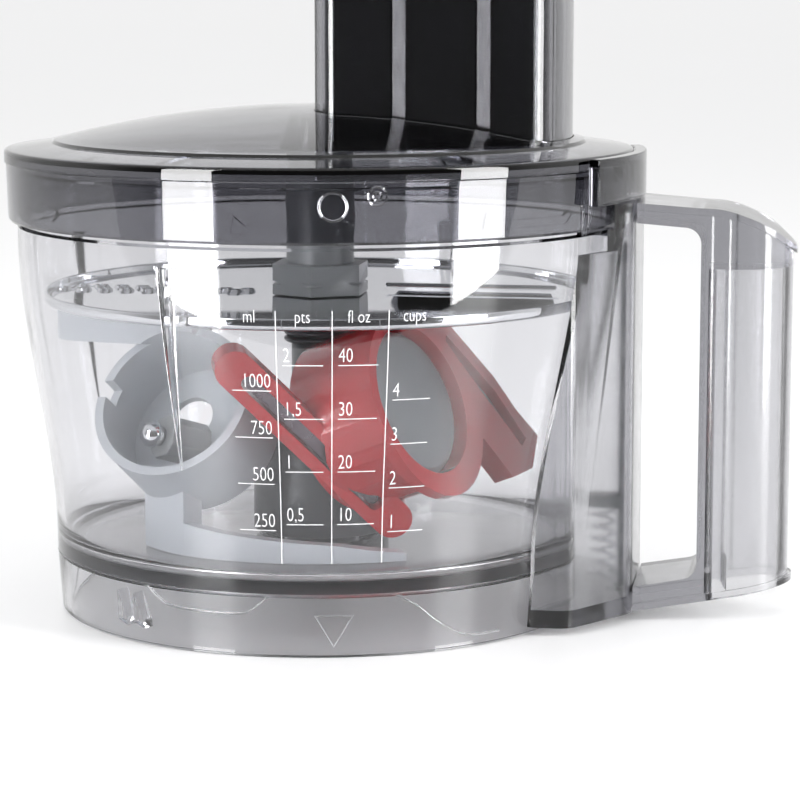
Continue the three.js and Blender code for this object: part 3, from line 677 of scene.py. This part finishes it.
def softened(points, radius, steps=5):
    """Rounds every corner of a closed outline."""
    line = []
    count = len(points)
    for i, corner in enumerate(points):
        here = Vector(corner)
        ends = []
        for other in (points[i - 1], points[(i + 1) % count]):
            along = Vector(other) - here
            ends.append(here + along.normalized() * min(radius, along.length * 0.45))
        for t in steps_between(0, 1, steps):
            point = ends[0] * (1 - t) ** 2 + here * (2 * t * (1 - t)) + ends[1] * t * t
            line.append(tuple(point))
    return line


def duct_outline(inset):
    face = duct_face - inset
    half = duct_half - inset * 0.7
    flare = duct_flare_half - inset
    return softened([(70 * mm, -flare), (duct_flare_x, -flare), (face, -half), (face, half),
                     (duct_flare_x, flare), (70 * mm, flare)], 4 * mm - inset * 0.5)


def room_for_bowl():
    heights = steps_between(duct_low.z - 1 * mm, 140 * mm, 30)
    sides = [(bowl_radius(z) + seam, z) for z in heights]
    return turned([(0, heights[0])] + sides + [(0, heights[-1])], steps=128)


def post(radius, low, high, steps=64):
    return turned([(0, low), (radius, low), (radius, high), (0, high)], steps=steps)


handle_plastic = clear_finish(
    "handle_plastic_finish", (0.82, 0.82, 0.835, 1), 0.15, (0.5, 0.5, 0.53, 1), 50, wave=0.7
)

duct_shell = raised(duct_outline(0), duct_low.z, duct_high.z)
duct_hollow = raised(duct_outline(duct_wall), duct_low.z + duct_floor, duct_high.z - duct_roof)
slide_room = raised([(slide_outer_x, -slide_half), (slide_outer_x, slide_half),
                     (slide_inner_x, slide_half), (slide_inner_x, -slide_half)],
                    0, slide_slot_top)
duct_solid = cut(duct_shell, duct_hollow, room_for_bowl(),
                 post(lid_room_radius, lid_room_foot, room_top, 128),
                 post(ledge_room_radius, lid_low.z + 6 * mm, room_top, 128), slide_room)
duct = piece("duct_moulding", duct_solid, handle_plastic, 30)
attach(duct, "bowl")
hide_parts("handle_duct")


def strap_z(x):
    return strap_top - strap_slope * (x - duct_face)


def bar_z(x):
    return bar_top + bar_rise * (x - duct_face)


def handle_plan(inset):
    """The handle from above: nearly parallel sides that draw in to a soft point."""
    half = grip_half - inset
    root = duct_half - inset
    tip = grip_outer - inset
    lead = top_bend_x + 9 * mm
    side = []
    for t in steps_between(0, 1, 14):
        weights = ((1 - t) ** 3, 3 * t * (1 - t) ** 2, 3 * t * t * (1 - t), t ** 3)
        knots = ((top_bend_x, -half), (lead, -half), (tip, -9 * mm), (tip, 0))
        side.append(tuple(sum(w * knot[k] for w, knot in zip(weights, knots)) for k in (0, 1)))
    mirrored = [(x, -y) for x, y in reversed(side[:-1])]
    return [(duct_face + seam, -root)] + side + mirrored + [(duct_face + seam, root)]


def top_line(drop):
    """The handle's top from the duct to the tip, lowered by some depth."""
    points = [(duct_face + seam, strap_z(duct_face) - drop), (118 * mm, strap_z(118 * mm) - drop),
              (top_bend_x - 2 * mm, strap_z(top_bend_x) - drop),
              (140 * mm, 123.2 * mm - drop), (grip_outer - 3 * mm, grip_tip_z + 3 * mm - drop),
              (grip_outer + 0.2 * mm, grip_tip_z - drop)]
    return curved(points, 5)


def bar_line(drop):
    start = duct_face + seam
    return [(start, bar_z(start) - drop), (grip_outer, bar_z(grip_outer) - drop)]


def between_lines(low_line, high_line):
    return slab(low_line + high_line[::-1], -30 * mm, 30 * mm)


def handle_gap():
    """The space for the fingers, between the duct, the strap, the grip and the bar."""
    left = duct_face - 1 * mm
    return slab(
        [(left, bar_z(left))] + arc(grip_inner - 5 * mm, bar_z(grip_inner) + 4.4 * mm, 5 * mm,
                                    -math.pi / 2 + 0.17, 0)
        + arc(grip_inner - 5 * mm, strap_z(grip_inner) - strap_depth - 4.8 * mm, 5 * mm,
              0, math.pi / 2 - 0.07)
        + [(left, strap_z(left) - strap_depth)], -30 * mm, 30 * mm)


handle_body = kept_inside(between_lines(bar_line(bar_depth), top_line(0)),
                          raised(handle_plan(web_inset), -5 * mm, 140 * mm))
top_flange = kept_inside(between_lines(top_line(flange_depth), top_line(0)),
                         raised(handle_plan(0), 0, 140 * mm))
bar_flange = kept_inside(between_lines(bar_line(bar_depth), bar_line(bar_depth - flange_depth)),
                         raised(handle_plan(0), -5 * mm, 140 * mm))
column_outline = softened([(grip_inner, -grip_half), (132 * mm, -grip_half), (132 * mm, grip_half),
                           (grip_inner, grip_half)], 8 * mm, 8)
column = kept_inside(raised(column_outline, 0, 140 * mm),
                     between_lines(bar_line(bar_depth), top_line(0)))
core_top = grip_tip_z - 6 * mm
core = kept_inside(
    raised(handle_plan(grip_wall + web_inset), -5 * mm, core_top),
    raised(softened([(grip_inner + grip_wall, -15 * mm), (160 * mm, -15 * mm), (160 * mm, 15 * mm),
                     (grip_inner + grip_wall, 15 * mm)], 6 * mm, 6), -6 * mm, core_top + 1 * mm))
handle_solid = cut(joined(handle_body, top_flange, bar_flange, column), handle_gap(), core)
handle = piece("handle_moulding", handle_solid, handle_plastic, 30)
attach(handle, "bowl")
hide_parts("handle_grip")


# ---------- Lid interlock ----------
# A grey slide with a foot, pushed up by a fine wire spring. The cam under the lid holds it down
# while the lid is locked.

def satin_finish(name, colour, other, roughness, relief=0.05, coat=0.0):
    """Opaque moulded plastic: slightly uneven in tone, with a fine moulded grain."""
    material, wire = new_material(name)
    cloud = grain(wire, 18 * mm)
    fine = grain(wire, 0.7 * mm, 4.0)
    bump = wire.node("Bump", inputs={"Strength": relief, "Distance": 0.1 * mm, "Height": fine})
    shade = wire.node("BsdfPrincipled", inputs={
        "Base Color": mixed(wire, cloud, colour, other),
        "Roughness": fine * 0.12 + cloud * 0.08 + (roughness - 0.1),
        "Coat Weight": coat,
        "Coat Roughness": 0.12,
        "Normal": bump,
    })
    wire.node("OutputMaterial", inputs={"Surface": shade})
    return material


grey_plastic = satin_finish(
    "grey_plastic_finish", (0.23, 0.245, 0.255, 1), (0.28, 0.295, 0.305, 1), 0.38
)
steel_colour = (0.76, 0.77, 0.785, 1)


def steel_finish(name, ring_spacing=None, roughness=0.06, colour=steel_colour):
    """Stainless steel: polished, with fine turned lines where a spacing is given."""
    material, wire = new_material(name)
    place = wire.node("TexCoord", output="Object")
    smear = grain(wire, 12 * mm, 4.0)
    height = smear * 0.2
    if ring_spacing:
        rings = wire.node("TexWave", {"wave_type": "RINGS", "rings_direction": "Z"}, {
            "Vector": place, "Scale": 0.314 / ring_spacing, "Distortion": 0.6,
            "Detail": 2.0, "Detail Scale": 2.0,
        }, output="Fac")
        height = height + rings * 0.5
    bump = wire.node("Bump", inputs={"Strength": 0.04, "Distance": 0.05 * mm, "Height": height})
    shade = wire.node("BsdfPrincipled", inputs={
        "Base Color": mixed(wire, smear, colour, [min(c * 1.1, 1) for c in colour]),
        "Metallic": 1.0,
        "Roughness": smear * 0.05 + roughness,
        "Normal": bump,
    })
    wire.node("OutputMaterial", inputs={"Surface": shade})
    return material


polished_steel = steel_finish("polished_steel")


def rounded_edges(made, width, segments, degrees, harden=True):
    """Rounds the edges that turn by more than some degrees."""
    rounding = made.modifiers.new("edges", "BEVEL")
    rounding.width = width
    rounding.segments = segments
    rounding.limit_method = "ANGLE"
    rounding.angle_limit = math.radians(degrees)
    rounding.harden_normals = harden


def refined(node, name, material, edge=0.4 * mm, sharp_degrees=38):
    """A copy of a frame part, merged, flat areas cleaned, with small rounded edges."""
    solid = bmesh.new()
    solid.from_mesh(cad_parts[node].data)
    bmesh.ops.remove_doubles(solid, verts=solid.verts, dist=weld)
    bmesh.ops.dissolve_limit(solid, angle_limit=math.radians(1), verts=solid.verts,
                             edges=solid.edges)
    made = piece(name, solid, material, sharp_degrees)
    if edge:
        rounded_edges(made, edge, 2, 40)
    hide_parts(node)
    return made


slide = refined("interlock_slide", "slide_bar", grey_plastic)
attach(slide, "interlock")
spring = refined("interlock_spring", "slide_spring", polished_steel, edge=0, sharp_degrees=80)
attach(spring, "bowl")


# ---------- Drive ----------
# A fluted coupling under the floor carries a bell and a slim shaft up to the disc, with a grooved
# ring near its top. All dark satin plastic, round a steel axle.

dark_plastic = satin_finish(
    "dark_plastic_finish", (0.085, 0.092, 0.1, 1), (0.11, 0.118, 0.125, 1), 0.34
)
coupling = refined("drive_coupling", "coupling_spindle", dark_plastic, edge=0.35 * mm)
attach(coupling, "drive")

shaft_low, shaft_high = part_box("drive_shaft")
bell_radius = shaft_high.x
axle_bore = 3.55 * mm
shaft_radius = 9.2 * mm
coupling_top = 50.3 * mm
bell_top = 58 * mm
bell_inner = bell_radius - 2.2 * mm
bell_curve = arc(bell_radius - 9 * mm, bell_top - 9 * mm, 9 * mm, 0, math.pi / 2, 8)
neck_curve = arc(shaft_radius + 5 * mm, bell_top + 5 * mm, 5 * mm, math.pi * 1.5, math.pi, 6)
shaft_solid = turned(
    [(axle_bore, coupling_top), (bell_inner - 3 * mm, coupling_top),
     (bell_inner, coupling_top - 4 * mm), (bell_inner, shaft_low.z),
     (bell_radius - 0.4 * mm, shaft_low.z), (bell_radius, shaft_low.z + 0.4 * mm)]
    + bell_curve + neck_curve
    + [(shaft_radius, shaft_high.z - 0.6 * mm), (shaft_radius - 0.6 * mm, shaft_high.z),
       (axle_bore, shaft_high.z)])
shaft = piece("shaft_and_bell", shaft_solid, dark_plastic)
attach(shaft, "drive")
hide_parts("drive_shaft")

ring_low, ring_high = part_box("shaft_ring")
ring_radius = ring_high.x
ring_inner = shaft_radius + seam
ring_solid = turned(
    [(ring_inner, ring_low.z), (ring_radius - 0.7 * mm, ring_low.z)]
    + arc(ring_radius - 0.7 * mm, ring_low.z + 0.9 * mm, 0.7 * mm, -math.pi / 2, math.pi / 2, 6)
    + [(ring_radius - 1.1 * mm, ring_low.z + 1.9 * mm)]
    + arc(ring_radius - 0.8 * mm, ring_high.z - 0.9 * mm, 0.8 * mm, -math.pi / 2, math.pi / 2, 6)
    + [(ring_inner, ring_high.z)])
shaft_ring = piece("shaft_collar", ring_solid, dark_plastic)
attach(shaft_ring, "drive")
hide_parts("shaft_ring")

axle_low, axle_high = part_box("axle")
axle_radius = axle_high.x
axle_solid = turned([(0, axle_low.z), (axle_radius - 0.4 * mm, axle_low.z),
                     (axle_radius, axle_low.z + 0.4 * mm), (axle_radius, axle_high.z - 1 * mm),
                     (axle_radius - 1 * mm, axle_high.z), (0, axle_high.z)], steps=48)
axle = piece("axle_rod", axle_solid, polished_steel)
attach(axle, "drive")
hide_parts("axle")


# ---------- Cutting disc ----------
# A sheet of mirror-polished steel with a turned-up rim, a long slicing blade raised over its slot
# and rows of grating holes, held on a grey hexagonal hub with a round sleeve.

disc_low, disc_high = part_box("cutting_disc")
disc_radius = disc_high.x
disc_thickness = 1 * mm
disc_top = disc_low.z + disc_thickness
disc_bore = 4.55 * mm
hole_radius = 2 * mm
holes_per_row = 9
first_hole = 24
hole_pitch = 7
row_heading = 176
row_turn = 7
slot_start = 22 * mm
slot_end = 76 * mm
slot_near = -5 * mm
slot_far = -1 * mm
disc_steel = steel_finish("disc_steel", ring_spacing=0.8 * mm, roughness=0.02)

lip = disc_radius - 1.6 * mm
disc_profile = [(disc_bore, disc_low.z)]
disc_profile += arc(lip, disc_low.z + 1.6 * mm, 1.6 * mm, -math.pi / 2, 0, 6)
disc_profile += arc(disc_radius - 0.5 * mm, disc_high.z - 0.5 * mm, 0.5 * mm, 0, math.pi, 6)
disc_profile += arc(lip, disc_low.z + 1.6 * mm, 0.6 * mm, 0, -math.pi / 2, 4)
disc_profile += [(disc_bore, disc_top)]
disc_solid = turned(disc_profile, steps=180)
slot_outline = [(slot_start, slot_near), (slot_end, slot_near), (slot_end, slot_far),
                (slot_start, slot_far)]
cutters = [raised(slot_outline, disc_low.z - 1 * mm, disc_top + 1 * mm)]
hole_edges = []
for row in (0, 1):
    for i in range(holes_per_row):
        reach = (first_hole + hole_pitch * i + hole_pitch / 2 * row) * mm
        turn = math.radians(row_heading + row_turn * row)
        hole = post(hole_radius, disc_low.z - 1 * mm, disc_top + 1 * mm, 20)
        hole_edge = turned([(hole_radius + 0.1 * mm, disc_top - 0.3 * mm),
                            (hole_radius + 0.8 * mm, disc_top - 0.3 * mm),
                            (hole_radius + 0.3 * mm, disc_top + 0.8 * mm),
                            (hole_radius + 0.1 * mm, disc_top + 0.8 * mm)], steps=20)
        for solid in (hole, hole_edge):
            bmesh.ops.translate(solid, verts=solid.verts,
                                vec=(reach * math.cos(turn), reach * math.sin(turn), 0))
        cutters.append(hole)
        hole_edges.append(hole_edge)
disc = piece("steel_disc", joined(cut(disc_solid, *cutters), *hole_edges), disc_steel)
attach(disc, "drive")
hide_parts("cutting_disc")

blade = refined("disc_blade", "slicing_blade", polished_steel, edge=0.15 * mm)
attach(blade, "drive")

pale_grey_plastic = satin_finish(
    "pale_grey_plastic_finish", (0.3, 0.315, 0.325, 1), (0.36, 0.372, 0.38, 1), 0.3
)
hub = refined("disc_hub", "disc_hub_and_sleeve", pale_grey_plastic, edge=0.5 * mm)
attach(hub, "drive")


# ---------- Lid ----------
# A smoky see-through lid: a shallow dome in a flat flange, over a deep skirt that grips the rim.
# A lug stands out of the skirt over the handle, and a boss holds the bush for the axle.

lid_radius = lid_high.x
lid_foot_radius = 97.5 * mm
lid_wall = 2.3 * mm
lid_corner_z = 145 * mm
dome_radius = 82.6 * mm
dome_base = 147.6 * mm
dome_top = lid_high.z
skirt_foot = 123 * mm
ledge_z = lid_corner_z - 4 * mm
ring_mark_heading = 3.7
ring_mark_radius = 4 * mm
ring_mark_z = 134 * mm
stud_heading = 11.1
stud_z = 136.9 * mm


def dome_z(radius, depth=0.0):
    return dome_base + (dome_top - dome_base) * (1 - (radius / dome_radius) ** 2) - depth


smoky_plastic = clear_finish(
    "smoky_plastic_finish", (0.42, 0.42, 0.45, 1), 0.02, (0.04, 0.04, 0.07, 1), 170,
    dome_tint=(0.88, 0.88, 0.9, 1),
)

lid_under = [(radius, dome_z(radius, lid_wall)) for radius in steps_between(0, dome_radius, 24)]
skirt_inner = lid_foot_radius - lid_wall
lid_under += [(skirt_inner - 1 * mm, lid_corner_z - lid_wall),
              (skirt_inner + 0.3 * mm, lid_corner_z - lid_wall - 1.5 * mm),
              (skirt_inner, skirt_foot + 0.4 * mm), (skirt_inner + 0.4 * mm, skirt_foot)]
lid_outside = [(lid_foot_radius - 0.5 * mm, skirt_foot),
               (lid_foot_radius, skirt_foot + 0.8 * mm),
               (lid_radius - 0.5 * mm, ledge_z - 0.4 * mm),
               (lid_radius, ledge_z), (lid_radius, lid_corner_z - 1.2 * mm)]
lid_outside += arc(lid_radius - 1.2 * mm, lid_corner_z - 1.2 * mm, 1.2 * mm, 0, math.pi / 2, 6)
lid_outside += [(dome_radius + 1.2 * mm, dome_base - 0.9 * mm), (dome_radius + 0.3 * mm, dome_base)]
lid_over = [(radius, dome_z(radius)) for radius in steps_between(dome_radius - 0.6 * mm, 0, 24)]
lid_solid = turned(lid_under + lid_outside + lid_over, steps=180)

chute_inner_x = 5 * mm
chute_outer = 77 * mm
chute_half = 27 * mm
chute_wall = 2.4 * mm
chute_corner = 9 * mm
boss_foot = 12.5 * mm
boss_room = 4.5 * mm


def outer_side(grow, steps=10):
    """The chute's side along the lid's rim, between its two round corners."""
    corner = chute_corner + grow
    corner_y = chute_half - chute_corner
    outer = chute_outer + grow
    angle = math.asin(corner_y / (outer - corner))
    corner_x = (outer - corner) * math.cos(angle)
    return (arc(corner_x, -corner_y, corner, -math.pi / 2, -angle, steps)
            + arc(0, 0, outer, -angle, angle, steps)[1:-1]
            + arc(corner_x, corner_y, corner, angle, math.pi / 2, steps))


def chute_outline(grow):
    """The chute from above: its inner side is hollow and passes round the boss."""
    half = chute_half + grow
    inner = chute_inner_x - grow
    boss = boss_foot + boss_room + chute_wall - grow
    # A round tip ends on the circle round the boss where 5 * tip^2 - b * tip + c = 0.
    b = 4 * half - 2 * inner
    c = inner ** 2 + half ** 2 - boss ** 2
    tip = (b - math.sqrt(b * b - 20 * c)) / 10
    turn = math.acos((inner + tip) / boss)
    upper = arc(inner + tip, half - tip, tip, math.pi / 2, math.pi * 1.5, 24)
    hollow = arc(0, 0, boss, turn, -turn, 14)[1:-1]
    lower = arc(inner + tip, tip - half, tip, math.pi / 2, math.pi * 1.5, 24)
    return outer_side(grow) + upper + hollow + lower


chute_low, chute_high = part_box("feed_chute")
lid_solid = cut(lid_solid, raised(chute_outline(chute_wall + seam), 120 * mm, 165 * mm))
cam = slab([(-45 * mm, 121.5 * mm), (-40 * mm, 121.8 * mm), (2 * mm, 117 * mm), (6 * mm, 117 * mm),
            (6 * mm, 124 * mm), (-45 * mm, 124 * mm)], 0.1 * mm, 1.7 * mm)
lid_details = [wrapped(cam, 0, lambda z: lid_foot_radius - 0.4 * mm)]
ring_turns = steps_between(0, 2 * math.pi, 28)[:-1]
ring_line = [(ring_mark_radius * math.cos(t), ring_mark_z + ring_mark_radius * math.sin(t))
             for t in ring_turns]
lid_details.append(wrapped(bead(ring_line, 0.45 * mm, closed=True),
                           front_heading + math.radians(ring_mark_heading),
                           lambda z: lid_radius - 0.3 * mm))
for size in (2.7, 1.2):
    stud = [(size * mm * math.cos(t), stud_z + size * mm * math.sin(t)) for t in ring_turns]
    lid_details.append(wrapped(bead(stud, 0.35 * mm, closed=True),
                               front_heading + math.radians(stud_heading),
                               lambda z: lid_radius - 0.2 * mm))
lid_solid = joined(lid_solid, *lid_details)
lid = piece("lid_moulding", lid_solid, smoky_plastic, 30)
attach(lid, "lid")
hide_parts("lid")

lug = refined("lid_lug", "lid_lug_moulding", smoky_plastic, edge=0.5 * mm)
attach(lug, "lid")
boss = refined("lid_boss", "lid_boss_moulding", smoky_plastic, edge=0.3 * mm)
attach(boss, "lid")
bush = refined("lid_bush", "axle_bush", grey_plastic, edge=0.3 * mm)
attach(bush, "lid_bearing")

chute_solid = cut(raised(chute_outline(chute_wall), chute_low.z, chute_high.z),
                  raised(chute_outline(0), chute_low.z - 1 * mm, chute_high.z + 1 * mm))
chute = piece("chute_moulding", chute_solid, smoky_plastic, 30)
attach(chute, "lid")
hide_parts("feed_chute")


# ---------- Pusher ----------
# A hollow near-black pusher slides in the chute. Its cap overhangs the chute and stays open, so
# the pusher is also a measuring cup.

pusher_low, pusher_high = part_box("pusher")
cap_low, cap_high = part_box("pusher_cap")
pusher_clearance = 0.9 * mm
pusher_wall = 2.2 * mm
cap_overhang = 4.5 * mm
black_plastic = satin_finish(
    "black_plastic_finish", (0.012, 0.013, 0.015, 1), (0.02, 0.021, 0.024, 1), 0.14, 0.02, 0.5
)
pusher_hollow = -pusher_clearance - pusher_wall
channel_width = 4.8 * mm
channel_depth = 1.15 * mm


def channel(x, side):
    """A shallow slanting channel down a flat side of the pusher."""
    face = side * (chute_half - pusher_clearance)
    return raised([(x, face + side * 1 * mm), (x + channel_width, face + side * 1 * mm),
                   (x + channel_width, face), (x, face - side * channel_depth)],
                  pusher_low.z - 1 * mm, pusher_high.z + 1 * mm)


pusher_solid = cut(
    raised(chute_outline(-pusher_clearance), pusher_low.z, pusher_high.z),
    raised(chute_outline(pusher_hollow), pusher_low.z + pusher_wall, pusher_high.z + 1 * mm),
    *(channel(x, side) for x in (26.6 * mm, 52.4 * mm) for side in (-1, 1)))
pusher = piece("pusher_moulding", pusher_solid, black_plastic, 10)
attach(pusher, "pusher")
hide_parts("pusher")


def cap_outline(grow):
    corner = chute_corner + grow
    x = chute_inner_x + chute_corner
    y = chute_half - chute_corner
    return (outer_side(grow) + arc(x, y, corner, math.pi / 2, math.pi)
            + arc(x, -y, corner, math.pi, math.pi * 1.5))


cap_solid = cut(raised(cap_outline(chute_wall + cap_overhang), cap_low.z, cap_high.z),
                raised(chute_outline(pusher_hollow), cap_low.z - 1 * mm, cap_high.z + 1 * mm))
cap = piece("pusher_cap_moulding", cap_solid, black_plastic, 30)
rounded_edges(cap, 1.2 * mm, 4, 60)
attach(cap, "pusher")
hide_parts("pusher_cap")


# ---------- Kneading tool ----------
# A pale blue-grey tool put away tipped over: an open cup, a tapering paddle that follows the
# bowl's wall above the floor and a hooked arm, with a grey post and a steel pin inside the cup.

cup_end = Vector((-32.6, -23.3, 55.2)) * mm
cup_rim = Vector((-38, -44, 70)) * mm
cup_radius = 25.2 * mm
cup_wall = 2.7 * mm
cup_floor = 2.6 * mm
floor_hole_radius = 7 * mm
paddle_radius = 59.5 * mm
paddle_wall = 4.5 * mm


def place_along(start, end, hint):
    """A place whose Z axis runs from one point to another and whose X axis leans to a hint."""
    z = (end - start).normalized()
    x = (hint - z * hint.dot(z)).normalized()
    y = z.cross(x)
    turn = Matrix((x, y, z)).transposed().to_4x4()
    return Matrix.Translation(start) @ turn


def placed(solid, matrix):
    bmesh.ops.transform(solid, matrix=matrix, verts=solid.verts)
    return solid


def ring_part(inner, outer, start, end, low, high):
    """Part of a ring between two angles in degrees."""
    turns = steps_between(math.radians(start), math.radians(end), 24)
    outside = [(outer * math.cos(t), outer * math.sin(t)) for t in turns]
    inside = [(inner * math.cos(t), inner * math.sin(t)) for t in reversed(turns)]
    return raised(outside + inside, low, high)


tool_plastic = satin_finish(
    "tool_plastic_finish", (0.6, 0.635, 0.67, 1), (0.66, 0.695, 0.73, 1), 0.36, 0.08
)
cup_place = place_along(cup_end, cup_rim, Vector((1, 0, 0)))
cup_length = (cup_rim - cup_end).length
cup = placed(post(cup_radius, 0, cup_length, 96), cup_place)
cup_inside = placed(post(cup_radius - cup_wall, cup_floor, cup_length + 30 * mm, 96), cup_place)
floor_hole = post(floor_hole_radius, -5 * mm, cup_floor + 5 * mm, 32)
bmesh.ops.translate(floor_hole, verts=floor_hole.verts, vec=(-4 * mm, 6 * mm, 0))
rim_notch = raised([(-27.2 * mm, 3 * mm), (-19.2 * mm, 3 * mm), (-19.2 * mm, 8.5 * mm),
                    (-27.2 * mm, 8.5 * mm)], cup_length - 7 * mm, cup_length + 2 * mm)
paddle_inner = paddle_radius - paddle_wall
above_paddle = slab([(-64 * mm, 36 * mm), (-20 * mm, 31.5 * mm), (15 * mm, 29 * mm),
                     (38 * mm, 25 * mm), (38 * mm, 50 * mm), (-64 * mm, 50 * mm)],
                    -75 * mm, 5 * mm)
paddle = cut(ring_part(paddle_inner, paddle_radius, 214, 306, 22.2 * mm, 35 * mm), above_paddle)
web = ring_part(paddle_inner - 3 * mm, paddle_radius, 214, 236, 24.2 * mm, 46 * mm)
arm_plan = curved([(-34, -33), (-30, -25), (-55, -19), (-74, -14), (-80, -17), (-79, -24),
                   (-72, -29), (-52, -33)], 4)
arm = raised([(x * mm, y * mm) for x, y in arm_plan], 85.5 * mm, 95 * mm)
knead_solid = cut(joined(cup, paddle, web, arm), cup_inside, placed(floor_hole, cup_place),
                  placed(rim_notch, cup_place))
knead = piece("kneading_tool_moulding", knead_solid, tool_plastic)
rounded_edges(knead, 1.3 * mm, 3, 40, harden=False)
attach(knead, "bowl")
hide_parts("kneading_tool")

post_piece = refined("kneading_post", "kneading_post_moulding", pale_grey_plastic, edge=0.6 * mm)
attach(post_piece, "bowl")
pin = refined("kneading_pin", "kneading_pin_steel", polished_steel, edge=0, sharp_degrees=60)
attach(pin, "bowl")


# ---------- Knife in its guard ----------
# The knife's grey hub and two steel blades sit in a glossy red guard: a collar round the hub, a
# slotted face arm and a long slotted arm that lies along the lower blade.

guard_plastic = satin_finish(
    "guard_plastic_finish", (0.5, 0.008, 0.016, 1), (0.58, 0.014, 0.022, 1), 0.22, 0.06, 0.35
)
guard = refined("blade_guard", "guard_moulding", guard_plastic, edge=0.6 * mm, sharp_degrees=30)
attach(guard, "bowl")
knife_hub = refined("knife_hub", "knife_hub_moulding", grey_plastic, edge=0.5 * mm)
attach(knife_hub, "bowl")
# The blades' steel is given a dark purple-grey colour: a painted dark reflection, standing in for
# the darkness the polished blades reflect inside the red guard's slots.
knife_steel_painted_dark_reflection = steel_finish("knife_steel_painted_dark_reflection", roughness=0.25, colour=(0.16, 0.13, 0.15, 1))
for node, name in (("knife_blade_long", "long_blade"), ("knife_blade_short", "short_blade")):
    knife = refined(node, name, knife_steel_painted_dark_reflection, edge=0.15 * mm)
    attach(knife, "bowl")
